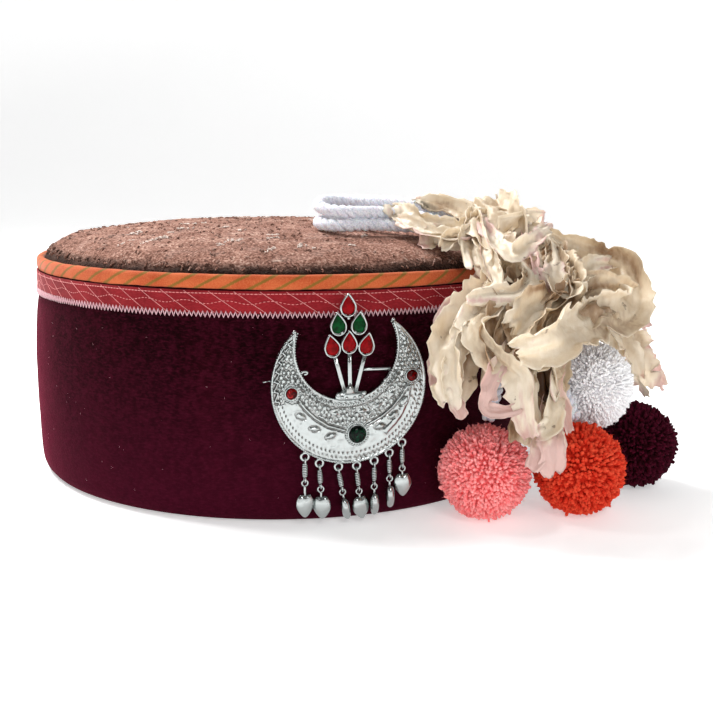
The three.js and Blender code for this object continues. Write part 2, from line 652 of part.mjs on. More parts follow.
// What the petals lie on, grown by the gap that they keep to it: the cap's top and the cords.
function plumeClearance() {
  const radii = [SHOULDER_OUTER, 89, 81, 68, 0];
  const top = radii.map((radius) => [radius, crownTop(radius) + 2 * GAP]);
  const low = BINDING.high - 10;
  const rim = [[0, low], [BINDING.outer + GAP, low], [BINDING.outer + GAP, BINDING.high + GAP]];
  const cords = Object.keys(CORD_ROUTES).map((name) => cordTube(name, CORD_DIAMETER + 2 * GAP));
  return fused([turned([...rim, ...top]), ...cords]);
}

function petalPlume() {
  const stalk = new THREE.CatmullRomCurve3(STALK.map(([x, y, z]) => vec(x, y, z)));
  const core = new THREE.ExtrudeGeometry(ngon(STALK_RADIUS, 6), {
    steps: 10, bevelEnabled: false, extrudePath: stalk,
  });
  const petals = fused([core, ...PETALS.map((row) => petal(stalk, row))]);
  const bodies = petals.subtract(plumeClearance()).decompose();
  const whole = bodies.reduce((best, body) => (body.volume() > best.volume() ? body : best));
  return part('petal_plume', fromManifold(whole), 'petal');
}

// ---------------------------------------------------------------- the assembly

const cap = new THREE.Group();
cap.position.y = FRAME_SHIFT;
cap.add(woolCrown(), velvetBand(), redRibbon(), orangeBinding(), brooch());
for (const name of Object.keys(CORD_ROUTES)) cap.add(cord(name));
for (const row of POMPOMS) cap.add(pompom(row));
cap.add(petalPlume());

export default cap;
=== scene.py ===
"""A himachali cap: wool crown, velvet band, ribbon and binding, silver crescent brooch, two doubled
cords with four pompoms, and a plume of papery petals. Lengths are millimetres until they meet MM."""

import math

import bpy
import numpy as np
from mathutils import Matrix, Vector


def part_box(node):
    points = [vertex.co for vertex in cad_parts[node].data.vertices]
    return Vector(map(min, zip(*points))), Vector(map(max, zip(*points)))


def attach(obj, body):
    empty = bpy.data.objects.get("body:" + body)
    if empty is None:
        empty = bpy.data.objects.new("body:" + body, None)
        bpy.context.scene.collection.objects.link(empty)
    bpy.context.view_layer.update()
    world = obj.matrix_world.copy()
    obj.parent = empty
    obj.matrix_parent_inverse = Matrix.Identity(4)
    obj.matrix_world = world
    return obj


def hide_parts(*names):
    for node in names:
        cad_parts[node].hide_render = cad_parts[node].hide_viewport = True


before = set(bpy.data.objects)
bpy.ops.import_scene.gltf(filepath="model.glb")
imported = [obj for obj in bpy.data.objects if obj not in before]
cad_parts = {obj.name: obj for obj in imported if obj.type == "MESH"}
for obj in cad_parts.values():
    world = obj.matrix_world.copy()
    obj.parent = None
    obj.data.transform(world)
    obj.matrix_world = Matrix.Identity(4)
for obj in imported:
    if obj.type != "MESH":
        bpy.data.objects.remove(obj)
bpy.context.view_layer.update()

MM = 0.001
rng = np.random.default_rng(11)
LATTICE = rng.uniform(-1, 1, (64, 64, 64))

# ---------------------------------------------------------------- sizes

BAND_RADIUS = 94
VELVET_THICKNESS, VELVET_TOP = 1.8, 77.2
WALL_RADIUS, WOOL_THICKNESS = 91.8, 2.2
SHOULDER_RADIUS, SHOULDER_OUTER, SHOULDER_POWER = 75, 91.3, 2.5
SHOULDER_BASE, SHOULDER_HEIGHT, CROWN_HEIGHT = 78, 89, 92.5
RIBBON_LOW, RIBBON_HIGH = 67.9, 75
BINDING_LOW, BINDING_HIGH = 75.2, 80.0
BINDING_INNER, BINDING_OUTER = 91.6, 94.6
STITCH_RADIUS = BAND_RADIUS + 0.8


def node_box(node):
    """The middle and the half size of a CAD node."""
    low, high = (np.array(corner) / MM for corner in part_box(node))
    return (low + high) / 2, (high - low) / 2


AXIS = node_box("velvet_band")[0] * [1, 1, 0]
POMPOM_RADIUS = node_box("pompom_coral")[1][2]

# ---------------------------------------------------------------- shapes from points


def joined(*parts):
    """Rows from their columns, such as points from x, y and z, each a number or an array."""
    return np.stack(np.broadcast_arrays(*parts), -1)


def unit(rows):
    return rows / np.linalg.norm(rows, axis=-1, keepdims=True)


def turns(count):
    """Even angles round a full turn."""
    return np.linspace(0, 2 * math.pi, count, endpoint=False)


def around(side, lift, turn):
    """Directions turned from side towards lift."""
    return side * np.cos(turn)[..., None] + lift * np.sin(turn)[..., None]


def steps_of(line):
    return np.linalg.norm(np.diff(line, axis=0), axis=1)


def evenly(line, count_steps):
    """The line cut anew into equal steps, as many as count_steps says for its length."""
    run = np.concatenate([[0], np.cumsum(steps_of(line))])
    even = np.linspace(0, run[-1], count_steps(run[-1]) + 1)
    return np.stack([np.interp(even, run, column) for column in line.T], -1)


def smooth_path(points, spacing):
    """An even path through the points, with centripetal Catmull-Rom bends."""
    points = np.asarray(points, float)
    points = np.vstack([2 * points[0] - points[1], points, 2 * points[-1] - points[-2]])
    fine = []
    for a, b, c, d in zip(points, points[1:], points[2:], points[3:]):
        ab, bc, cd = (math.sqrt(np.linalg.norm(q - p)) for p, q in ((a, b), (b, c), (c, d)))
        out = (b - a) / ab - (c - a) / (ab + bc) + (c - b) / bc
        into = (c - b) / bc - (d - b) / (bc + cd) + (d - c) / cd
        t = np.linspace(0, 1, 30, endpoint=False)[:, None]
        fine.append((2 * t**3 - 3 * t**2 + 1) * b + (t**3 - 2 * t**2 + t) * out * bc
                    + (3 * t**2 - 2 * t**3) * c + (t**3 - t**2) * into * bc)
    return evenly(np.vstack([*fine, points[-2:-1]]), lambda length: round(length / spacing))


def lumps(points, size):
    """Smooth noise from -1 to 1, with lumps of about that size."""
    at = np.asarray(points, float) / size + 331.7
    cell = np.floor(at).astype(int)
    part = at - cell
    part = part * part * (3 - 2 * part)
    total = 0
    for corner in np.ndindex(2, 2, 2):
        weight = np.prod(np.where(corner, part, 1 - part), axis=-1)
        near = (cell + corner) % 64
        total = total + weight * LATTICE[near[..., 0], near[..., 1], near[..., 2]]
    return total


def creases(points, size):
    """Noise like lumps, but pinched into sharp folds."""
    return 1 - 3 * np.abs(lumps(points, size))


def grid(rows, columns, round_rows=False, round_columns=False):
    """The four-cornered faces of a grid of points, closed on itself where asked."""
    i = np.arange(rows if round_rows else rows - 1)[:, None]
    j = np.arange(columns if round_columns else columns - 1)[None, :]
    here = i * columns + j
    right = i * columns + (j + 1) % columns
    down = (i + 1) % rows * columns
    return np.stack([here, right, down + (j + 1) % columns, down + j], -1).reshape(-1, 4)


def turned_frames(path):
    """Directions along a path, and two directions across it that don't twist."""
    along = unit(np.gradient(path, axis=0))
    side = np.cross(along[0], [0.31, 0.2, 0.93])
    sides = []
    for step in along:
        side = unit(side - step * side.dot(step))
        sides.append(side)
    sides = np.array(sides)
    return along, sides, np.cross(along, sides)


def tube(path, radius, sides=8, closed=False):
    """A tube round a path, with narrowed and closed ends unless it is a loop."""
    path = np.asarray(path, float)
    radius = np.broadcast_to(radius, len(path)).astype(float)
    if closed:
        along = unit(np.roll(path, -1, 0) - np.roll(path, 1, 0))
        side = unit(np.cross(along, unit(np.cross(path[1] - path[0], path[2] - path[0]))))
        lift = np.cross(along, side)
    else:
        tangent = unit(np.gradient(path, axis=0))
        path = np.vstack([path[0] - tangent[0] * radius[0] * 0.5, path,
                          path[-1] + tangent[-1] * radius[-1] * 0.5])
        radius = np.concatenate([[radius[0] * 0.4], radius, [radius[-1] * 0.4]])
        along, side, lift = turned_frames(path)
    ring = around(side[:, None], lift[:, None], turns(sides)[None])
    points = (path[:, None] + ring * radius[:, None, None]).reshape(-1, 3)
    quads = grid(len(path), sides, closed, True)
    if closed:
        return points, quads
    last = len(points) - sides
    threes = [end for i in range(1, sides - 1)
              for end in ([0, i + 1, i], [last, last + i, last + i + 1])]
    return points, quads, np.array(threes)


def ball(sides=12, rings=9):
    """A round ball of radius 1."""
    rise, turn = np.linspace(0, np.pi, rings + 1)[1:-1, None], turns(sides)
    ring = joined(np.sin(rise) * np.cos(turn), np.sin(rise) * np.sin(turn), np.cos(rise))
    points = np.vstack([ring.reshape(-1, 3), [0, 0, 1], [0, 0, -1]])
    top, last = len(points) - 2, len(points) - 2 - sides
    threes = []
    for i in range(sides):
        ahead = (i + 1) % sides
        threes += [[top, i, ahead], [top + 1, last + ahead, last + i]]
    return points, grid(len(rise), sides, False, True)[:, ::-1], np.array(threes)


def rod():
    """A short stitch of length 1 along x and radius 1, thick in its middle."""
    points, *faces = tube(joined(np.linspace(-0.5, 0.5, 3), 0, 0), [0.55, 1, 0.55], 4)
    points[:, 0] = np.clip(points[:, 0], -0.56, 0.56)
    return points, *faces


def stacked(rings):
    """A solid through equal rings of points, with a fan over each end."""
    count = len(rings[0])
    points = np.vstack([*rings, rings[0].mean(0), rings[-1].mean(0)])
    last = (len(rings) - 1) * count
    threes = []
    for i in range(count):
        ahead = (i + 1) % count
        threes += [[len(points) - 2, ahead, i], [len(points) - 1, last + i, last + ahead]]
    return points, grid(len(rings), count, False, True), np.array(threes)


def layered(levels):
    """A solid through flat outlines, each with its height."""
    return stacked([joined(*np.asarray(outline).T[:2], height) for outline, height in levels])


def squarish(wide, high, square, count):
    """A box outline of those half sizes with rounded corners."""
    turn = turns(count)
    return np.stack([half * np.sign(way) * np.abs(way) ** square
                     for half, way in ((wide, np.cos(turn)), (high, np.sin(turn)))], -1)


class Gather:
    """Collects shapes into one mesh, with one number, its mark, at each point."""

    def __init__(self):
        self.points, self.quads, self.threes, self.marks = [], [], [], []
        self.count = 0

    def add(self, shape, mark=0.0):
        points, quads, threes = (*shape, [])[:3]
        points = np.asarray(points, float).reshape(-1, 3)
        self.points.append(points)
        self.quads.append(np.asarray(quads, int).reshape(-1, 4) + self.count)
        self.threes.append(np.asarray(threes, int).reshape(-1, 3) + self.count)
        self.marks.append(np.broadcast_to(mark, len(points)))
        self.count += len(points)
        return self

    def scatter(self, shape, places, frames, marks=0.0):
        """A copy of the shape at each place; a frame's columns are the copy's own axes."""
        points, quads, threes = shape
        placed = np.einsum("nij,pj->npi", frames, points) + np.asarray(places)[:, None]
        steps = (np.arange(len(placed)) * len(points))[:, None, None]
        marks = np.repeat(np.broadcast_to(marks, len(placed)), len(points))
        return self.add((placed, quads[None] + steps, threes[None] + steps), marks)

    def beads(self, places, radius, shape=ball()):
        """Round beads of that radius, or of one radius each."""
        sizes = np.broadcast_to(radius, len(places))[:, None, None]
        return self.scatter(shape, places, sizes * np.eye(3))

    def spikes(self, rings, tips, across, lift, sides, marks, closed=False):
        """Thin spikes side by side, through rings that have a middle and a half width each."""
        points = np.stack([middle + around(across, lift, turn) * half
                           for middle, half in rings for turn in turns(sides)] + [tips], 1)
        step = (np.arange(len(tips)) * points.shape[1])[:, None, None]
        last = (len(rings) - 1) * sides
        threes = [[last + k, last + (k + 1) % sides, last + sides] for k in range(sides)]
        if closed:
            threes += [[0, k + 1, k] for k in range(1, sides - 1)]
        marks = np.broadcast_to(marks, points.shape[:2]).ravel()
        quads = grid(len(rings), sides, False, True)
        return self.add((points, quads + step, np.array(threes) + step), marks)

    def fuzz(self, roots, outs, length, radius, marks=0.0):
        """Fine bent hairs that stand out from their roots."""
        count = len(roots)
        lean = unit(outs + rng.normal(0, 0.55, (count, 3)))
        bow = rng.normal(0, 0.35, (count, 3))
        reach = length * rng.uniform(0.5, 1.3, (count, 1))
        across = unit(np.cross(lean, [0.3, 0.5, 0.8]))
        rings = (roots - lean * 0.2, radius), (roots + lean * reach * 0.5, radius * 0.8)
        tips = roots + unit(lean + bow) * reach
        return self.spikes(rings, tips, across, np.cross(lean, across), 3, marks, True)

    def build(self, name, material, slot, replaces=None, place=None, stage=False):
        """One piece from all the shapes, for the node that it replaces; the slot is not used."""
        points = np.concatenate(self.points)
        if place is not None:
            points = place(points)
        quads, threes = np.concatenate(self.quads), np.concatenate(self.threes)
        mesh = bpy.data.meshes.new(name)
        mesh.vertices.add(len(points))
        mesh.vertices.foreach_set("co", (points * MM).astype(np.float32).ravel())
        mesh.loops.add(quads.size + threes.size)
        mesh.loops.foreach_set("vertex_index", np.concatenate([quads.ravel(), threes.ravel()]))
        starts = np.concatenate([np.arange(len(quads)) * 4,
                                 quads.size + np.arange(len(threes)) * 3])
        mesh.polygons.add(len(starts))
        mesh.polygons.foreach_set("loop_start", starts)
        mesh.update(calc_edges=True)
        mesh.validate()
        mesh.polygons.foreach_set("use_smooth", np.ones(len(mesh.polygons), bool))
        mark = mesh.attributes.new("mark", "FLOAT", "POINT")
        mark.data.foreach_set("value", np.concatenate(self.marks).astype(np.float32))
        mesh.materials.append(material)
        piece = bpy.data.objects.new(name, mesh)
        bpy.context.scene.collection.objects.link(piece)
        if stage:
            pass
        else:
            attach(piece, "root")
        if replaces:
            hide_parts(replaces)
        return piece


def standing(along, out):
    """Frames whose x runs along and whose z points out."""
    along = unit(along)
    across = unit(np.cross(out, along))
    return np.stack([along, across, np.cross(along, across)], -1)


def round_cap(radius, turn, height):
    """Points on the cap from a radius, a turn to the right of its front, and a height."""
    return joined(radius * np.sin(turn), -radius * np.cos(turn), height) + AXIS


def away_from_cap(turn):
    """Level directions straight out from the cap."""
    return round_cap(1.0, turn, 0.0) - AXIS


def crown_top(x, y):
    """Height of the crown, from distances to the right of its axis and behind it."""
    radius = np.minimum(np.hypot(x, y), SHOULDER_OUTER)
    dome = CROWN_HEIGHT - (CROWN_HEIGHT - SHOULDER_HEIGHT) * (radius / SHOULDER_RADIUS) ** 2
    across = np.clip((radius - SHOULDER_RADIUS) / (SHOULDER_OUTER - SHOULDER_RADIUS), 0, 1)
    rise = (1 - across**SHOULDER_POWER) ** (1 / SHOULDER_POWER)
    shoulder = SHOULDER_BASE + (SHOULDER_HEIGHT - SHOULDER_BASE) * rise
    turn = np.degrees(np.arctan2(x, -np.asarray(y, float)))
    share = np.interp(turn, [-140, -125, -90, -45, 20, 60, 118, 140],
                      [0, 0.45, 0.62, 1, 1, 0.5, 0.4, 0])
    sag = share * np.interp(radius, [52, 74, 84, 88, 90, 91.3], [0, 1.4, 2.4, 3.0, 2.6, 0.8])
    return np.where(radius <= SHOULDER_RADIUS, dome, shoulder) - sag


def on_crown(x, y, lift=0.0):
    """Points on top of the crown, from distances to the right of its axis and behind it."""
    return joined(x, y, crown_top(x, y) + lift) + AXIS


def crown_normals(x, y):
    step = 0.3
    east = on_crown(x + step, y) - on_crown(x - step, y)
    north = on_crown(x, y + step) - on_crown(x, y - step)
    return unit(np.cross(east, north))


# ---------------------------------------------------------------- materials


def tone(red, green, blue):
    """A colour from its 0 to 255 values, as light."""
    return (*((value / 255) ** 2.2 for value in (red, green, blue)), 1)


def grey(level):
    return (level, level, level, 1)


class Nodes:
    """A node tree, with short ways to add the nodes that are used again and again."""

    def __init__(self, tree):
        self.nodes, self.links = tree.nodes, tree.links

    def feed(self, node, inputs):
        """Sets inputs of a node, each to a value or to another node's output."""
        for name, value in inputs.items():
            if isinstance(value, bpy.types.NodeSocket):
                self.links.new(value, node.inputs[name])
            else:
                node.inputs[name].default_value = value

    def node(self, kind, inputs, output=0, **settings):
        node = self.nodes.new("ShaderNode" + kind)
        for name, value in settings.items():
            setattr(node, name, value)
        self.feed(node, inputs)
        return node.outputs[output]

    def ramp(self, source, *stops):
        """Each stop is a share and a colour."""
        node = self.nodes.new("ShaderNodeValToRGB")
        points = node.color_ramp.elements
        while len(points) < len(stops):
            points.new(0.5)
        for point, (share, colour) in zip(points, stops):
            point.position, point.color = share, colour
        self.feed(node, {0: source})
        return node.outputs["Color"]

    def mask(self, source, start, end, level=1.0):
        """Black up to the start, and grey of that level from the end on."""
        return self.ramp(source, (start, grey(0)), (end, grey(level)))

    def math(self, kind, first, second=0):
        return self.node("Math", {0: first, 1: second}, operation=kind)

    def sum(self, first, second):
        return self.math("ADD", first, second)

    def times(self, value, factor):
        return self.math("MULTIPLY", value, factor)


class Shader(Nodes):
    """A new material, and the settings of its surface."""

    def __init__(self, name, **settings):
        self.material = bpy.data.materials.new(name)
        self.material.use_nodes = True
        super().__init__(self.material.node_tree)
        self.surface = self.nodes["Principled BSDF"]
        self.place = self.node("TexCoord", {}, "Object")
        self.set(**settings)

    def set(self, **settings):
        self.feed(self.surface, {name.replace("_", " "): settings[name] for name in settings})
        return self.material

    def mark(self):
        return self.node("Attribute", {}, "Fac", attribute_name="mark")

    def noise(self, size, detail=3.0, stretch=(1, 1, 1), tilt=(0, 0, 0)):
        """Noise whose lumps are about that many millimetres across."""
        place = self.node("Mapping", {"Vector": self.place, "Rotation": tilt,
                                      "Scale": [s / (size * MM) for s in stretch]})
        return self.node("TexNoise", {"Vector": place, "Scale": 1, "Detail": detail}, "Fac")

    def blend(self, share, first, second, kind="MIX"):
        return self.node("Mix", {0: share, 6: first, 7: second}, 2,
                         data_type="RGBA", blend_type=kind)

    def bump(self, source, height, strength=1.0):
        """Relief of about that many millimetres."""
        return self.node("Bump", {"Strength": strength, "Distance": height * MM,
                                  "Height": source})


def wool_material():
    """Brown curly wool: painted shade, darkest where the mark is 0, plain at 0.3, and pale at 1."""
    s = Shader("wool", Roughness=0.95, Sheen_Weight=0.15, Sheen_Roughness=0.5,
               Sheen_Tint=tone(200, 160, 140), Specular_IOR_Level=0.15)
    curls = s.noise(0.8, 4)
    fine = s.sum(s.times(curls, 0.72), s.times(s.noise(9, 2), 0.28))
    base = s.ramp(fine, (0.32, tone(62, 39, 32)), (0.45, tone(120, 83, 71)),
                  (0.56, tone(160, 120, 105)), (0.68, tone(206, 172, 156)))
    weft = s.mask(s.noise(1.3, 3, (0.25, 1, 1), (0, 0, 0.12)), 0.62, 0.74, 0.6)
    area = s.mask(s.noise(14, 1), 0.42, 0.62)
    pale = s.blend(s.blend(1.0, weft, area, "MULTIPLY"), base, tone(214, 188, 172))
    # Painted shade: the colour darkens as the mark falls from 0.3 to 0.
    painted_shade = s.ramp(s.mark(), (0.0, tone(64, 54, 50)), (0.3, grey(1)))
    colour = s.blend(s.mask(s.mark(), 0.3, 1.0), s.blend(1.0, pale, painted_shade, "MULTIPLY"),
                     tone(244, 230, 220))
    return s.set(Base_Color=colour, Normal=s.bump(curls, 0.9))


def velvet_material():
    """Wine velvet, redder towards its hem by the mark."""
    s = Shader("velvet", Roughness=0.9, Sheen_Weight=0.26, Sheen_Roughness=0.3,
               Sheen_Tint=tone(196, 56, 92), Specular_IOR_Level=0.03)
    pile, twill = s.noise(0.45, 2), s.noise(0.6, 2, (0.4, 0.4, 1), (0, 0.4, 0))
    nap = s.ramp(s.noise(22, 3, (1, 1, 0.35)), (0.3, tone(17, 3, 7)), (0.7, tone(34, 8, 14)))
    base = s.blend(s.mask(s.noise(2.4, 4), 0.42, 0.7, 0.4), nap, tone(64, 17, 32))
    low = s.blend(s.mask(s.mark(), 0.0, 1.0, 0.5), base, tone(72, 19, 37))
    # Painted glints: the twill's lines are lightened in the base colour.
    lit = s.blend(s.mask(twill, 0.45, 0.72, 0.4), low, tone(74, 23, 39))
    return s.set(Base_Color=lit, Normal=s.bump(s.sum(pile, s.times(twill, 0.7)), 0.22, 0.6))


def ribbon_material():
    s = Shader("ribbon", Roughness=0.75, Sheen_Weight=0.05, Specular_IOR_Level=0.12)
    weave = s.noise(0.35, 2, (0.3, 0.3, 1))
    base = s.ramp(s.noise(14, 2), (0.3, tone(104, 15, 24)), (0.7, tone(130, 30, 36)))
    return s.set(Base_Color=s.blend(s.mask(weave, 0.4, 0.7, 0.35), base, tone(168, 48, 54)),
                 Normal=s.bump(weave, 0.06, 0.6))


def binding_material():
    """Orange cloth with soft olive stripes; the mark counts the stripes round the cap."""
    s = Shader("binding", Roughness=0.85, Sheen_Weight=0.1, Specular_IOR_Level=0.1)
    weave = s.noise(0.4, 2)
    base = s.ramp(s.noise(11, 3), (0.3, tone(162, 68, 38)), (0.7, tone(188, 94, 56)))
    base = s.blend(s.mask(weave, 0.4, 0.7, 0.3), base, tone(206, 128, 82))
    within = s.math("ABSOLUTE", s.math("SUBTRACT", s.math("FRACT", s.mark()), 0.5))
    ragged = s.sum(within, s.times(s.math("SUBTRACT", weave, 0.5), 0.16))
    stripe = s.ramp(ragged, (0.07, grey(0.8)), (0.15, grey(0)))
    return s.set(Base_Color=s.blend(stripe, base, tone(104, 90, 38)),
                 Normal=s.bump(weave, 0.08, 0.6))


def silver_material():
    """Worn metal, darker where the mark says that it lies deep."""
    s = Shader("silver", Metallic=1.0)
    colour = s.ramp(s.mark(), (0.0, tone(172, 177, 176)), (0.5, tone(158, 160, 158)),
                    (1.0, tone(108, 106, 104)))
    rough = s.ramp(s.noise(2.5, 3), (0.3, grey(0.15)), (0.7, grey(0.28)))
    return s.set(Base_Color=colour, Roughness=rough, Normal=s.bump(s.noise(0.5, 2), 0.02, 0.4))


def enamel_material(name, deep, bright):
    s = Shader(name, Roughness=0.2, Specular_IOR_Level=0.07)
    return s.set(Base_Color=s.ramp(s.noise(1.6, 3), (0.35, deep), (0.65, bright)),
                 Normal=s.bump(s.noise(1.2, 2), 0.05, 0.4))


def stone_material(name, deep, bright, painted_glint):
    """Dark glass with painted glints: facets turn bright by the mark."""
    s = Shader(name, Roughness=0.06, Specular_IOR_Level=0.12)
    return s.set(Base_Color=s.ramp(s.mark(), (0.1, deep), (0.75, bright), (1.0, painted_glint)))


def cord_material():
    s = Shader("cord_wool", Roughness=0.9, Sheen_Weight=0.5, Subsurface_Weight=0.15,
               Subsurface_Scale=0.002)
    fibre = s.noise(0.5, 3)
    return s.set(Base_Color=s.ramp(fibre, (0.25, tone(184, 186, 200)), (0.6, tone(232, 232, 238))),
                 Normal=s.bump(fibre, 0.15, 0.8))


def yarn_material(name, root_shade, plain, light):
    """Cut yarn, which runs from painted shade at its root to light at its tip by the mark."""
    s = Shader(name, Roughness=0.95, Sheen_Weight=0.25, Sheen_Roughness=0.4, Sheen_Tint=light,
               Specular_IOR_Level=0.1)
    fibre = s.noise(0.5, 3)
    base = s.ramp(s.mark(), (0.0, root_shade), (0.55, plain), (1.0, light))
    return s.set(Base_Color=s.blend(s.mask(fibre, 0.35, 0.7, 0.35), base, light),
                 Normal=s.bump(fibre, 0.15, 0.7))


def petal_material():
    """Dry papery petal: brown through cream to pale pink by the mark, with light through it."""
    s = Shader("petal", Roughness=0.38, Specular_IOR_Level=0.5)
    veins = s.noise(1.5, 4, (1, 1, 0.3))
    share = s.sum(s.mark(), s.times(s.sum(veins, s.noise(11, 3)), 0.35))
    base = s.ramp(share, (0.0, tone(96, 64, 40)), (0.32, tone(180, 148, 116)),
                  (0.52, tone(226, 209, 182)), (0.84, tone(248, 238, 220)),
                  (1.1, tone(230, 199, 190)))
    specks = s.ramp(s.noise(3.2, 5), (0.27, grey(0.6)), (0.31, grey(0)))
    spotted = s.blend(specks, base, tone(120, 92, 66))
    relief = s.sum(veins, s.times(s.noise(0.7, 3), 0.5))
    s.set(Base_Color=spotted, Normal=s.bump(relief, 0.35, 0.8))
    through = s.node("BsdfTranslucent", {"Color": spotted})
    both = s.node("MixShader", {0: 0.38, 1: s.surface.outputs[0], 2: through})
    s.feed(s.nodes["Material Output"], {"Surface": both})
    return s.material


def thread_material(name, dull, bright):
    s = Shader(name, Roughness=0.8, Sheen_Weight=0.1, Specular_IOR_Level=0.15)
    return s.set(Base_Color=s.ramp(s.noise(0.6, 2), (0.3, dull), (0.6, bright)))


# ---------------------------------------------------------------- camera, floor and light


def make_camera():
    place, lens, yaw, pitch, roll = (33.64, -411.39, 112.67), 52.12, 0.0118, 0.1806, 0.0066
    data = bpy.data.cameras.new("camera")
    data.lens, data.sensor_width = lens, 36
    camera = bpy.data.objects.new("camera", data)
    bpy.context.scene.collection.objects.link(camera)
    turn = (Matrix.Rotation(yaw, 4, "Z") @ Matrix.Rotation(math.pi / 2 - pitch, 4, "X")
            @ Matrix.Rotation(roll, 4, "Z"))
    camera.matrix_world = Matrix.Translation((place + AXIS) * MM) @ turn
    bpy.context.scene.camera = camera


def make_floor():
    """A round pale floor whose edge curves up into a low wall, all in one sweep."""
    flat, bend, wall, columns = 1500, 500, 700, 96
    turn = np.linspace(0, math.pi / 2, 13)[1:]
    radii = np.concatenate([np.linspace(1, flat, 12), flat + bend * np.sin(turn), [flat + bend]])
    heights = np.concatenate([np.zeros(12), bend * (1 - np.cos(turn)), [wall]])
    points = round_cap(radii[:, None], turns(columns), heights[:, None])
    s = Shader("floor", Roughness=0.9, Specular_IOR_Level=0.1, Base_Color=grey(0.9),
               Emission_Color=grey(1), Emission_Strength=0.42)
    Gather().add((points, grid(len(radii), columns, False, True))).build(
        "floor", s.material, "wool", stage=True)


def make_light():
    """A soft studio, bright behind and dark to the front, with a large lamp above and a faint
    one before the cap."""
    scene, world = bpy.context.scene, bpy.data.worlds.new("studio")
    world.use_nodes = True
    n = Nodes(world.node_tree)
    depth = n.node("SeparateXYZ", {0: n.node("TexCoord", {}, "Generated")}, "Y")
    share = n.node("Math", {0: depth, 1: 0.5, 2: 0.5}, operation="MULTIPLY_ADD")
    sky = n.ramp(share, (0.0, grey(0.08)), (0.45, grey(0.25)), (0.75, grey(1)))
    n.feed(n.nodes["Background"], {"Color": sky, "Strength": 0.8})
    scene.world = world
    for name, place, size, power in (("key", (-450, 250, 850), 450, 17),
                                     ("front", (200, -800, 600), 300, 2)):
        data = bpy.data.lights.new(name, "AREA")
        data.energy, data.size = power, size * MM
        lamp = bpy.data.objects.new(name, data)
        scene.collection.objects.link(lamp)
        lamp.location = Vector(place) * MM
        aim = Vector((0.02, 0, 0.05)) - lamp.location
        lamp.rotation_euler = aim.to_track_quat("-Z", "Y").to_euler()
    scene.view_settings.view_transform = "Standard"


# ---------------------------------------------------------------- cords and pompoms

CORD_DIAMETER, CORD_PITCH = 4.2, 8.5
CORD_ROUTES = {
  "cord_low": [
    (73.2, -80.6, 32.1), (75.6, -75.5, 37.5), (78.2, -68.5, 47), (79.4, -62, 60),
    (80.2, -58.6, 74), (78.4, -56.6, 83.2), (72.5, -54.6, 89.6), (62, -52.4, 92.2),
    (48, -51, 92.9), (37, -50.4, 93.3), (30.6, -53, 93.4), (24.4, -54.8, 93.2),
    (18.4, -52.4, 93.4), (15.9, -46.5, 93.9), (18.4, -40.6, 94.1), (24.4, -38.2, 94.1),
    (30.8, -40.2, 94.1), (37.4, -43, 93.9), (48, -43, 93.5), (62, -38.8, 92.9),
    (74, -36.8, 91.5), (84, -36.4, 88.2), (91, -38, 82.4), (95.8, -39.2, 74),
    (100.5, -39.8, 64), (108.5, -40.4, 52.5), (117, -42.4, 42.5), (124.5, -45.4, 33.5),
  ],
  "cord_high": [
    (102.4, -77, 31.7), (100.4, -72.2, 37), (95.8, -64.4, 48), (90.6, -57.6, 61),
    (86.8, -53, 74), (83.2, -50.4, 83), (76.4, -48.8, 89.6), (64, -47.7, 92.8),
    (54, -47.4, 95.3), (44, -47.7, 97.2), (37, -48.6, 97.5), (30.6, -51.8, 97.7),
    (24.2, -53.6, 97.9), (18.2, -51.2, 98.6), (15.8, -45.2, 99.9), (18.2, -39.3, 101),
    (24.2, -36.9, 101.2), (30.8, -38.8, 101), (37.6, -41.6, 100.9), (46, -43, 100),
    (56, -44, 98), (66, -44, 95.6), (76, -43.2, 92.6), (86, -43.4, 88),
    (94, -45, 82), (101, -47, 76.5), (107, -50, 69.5), (110.4, -54.4, 61.5),
    (111.2, -57.6, 55.4),
  ],
}


def make_cord(name, material):
    """Three plies wound round the route, with loose fibres."""
    step, ply, reach = 0.7, 1.18, 1.08
    route = smooth_path(np.array(CORD_ROUTES[name]) + AXIS, step)
    _, side, lift = turned_frames(route)
    turn = np.arange(len(route)) * step / CORD_PITCH * 2 * math.pi
    gather = Gather()
    for start in turns(3):
        offset = around(side, lift, turn + start)
        swell = 1 + 0.1 * lumps(route + offset * 5, 2.5)
        gather.add(tube(route + offset * reach, ply * swell, 8))
    pick = rng.integers(2, len(route) - 2, 1500)
    outs = around(side[pick], lift[pick], rng.uniform(0, 2 * math.pi, len(pick)))
    gather.fuzz(route[pick] + outs * (reach + ply * 0.75), outs, 0.75, 0.045)
    return gather.build(name + "_plies", material, "cord_wool", name), route


# Each pompom: its tufts, how thick they are, how far they lean, how many stand out, and its tones.
# Its first tone is painted shade at the tufts' roots.
POMPOMS = {
    "coral": (3400, 0.57, 0.17, 0.05, (240, 84, 92), (255, 120, 122), (255, 166, 164)),
    "orange": (2100, 0.66, 0.21, 0.06, (128, 16, 12), (206, 42, 27), (230, 84, 58)),
    "maroon": (2100, 0.62, 0.16, 0.04, (14, 2, 6), (44, 7, 19), (74, 16, 36)),
    "white": (4100, 0.48, 0.16, 0.03, (238, 235, 240), (250, 248, 251), (255, 255, 255)),
}


def even_directions(count):
    """Directions spread evenly round a ball."""
    i = np.arange(count) + 0.5
    rise = 1 - 2 * i / count
    turn = i * math.pi * (3 - math.sqrt(5))
    flat = np.sqrt(1 - rise**2)
    return joined(flat * np.cos(turn), flat * np.sin(turn), rise)


def above_floor(points):
    """Presses flat whatever would reach below the floor."""
    return joined(*points.T[:2], np.maximum(points[:, 2], 0.05))


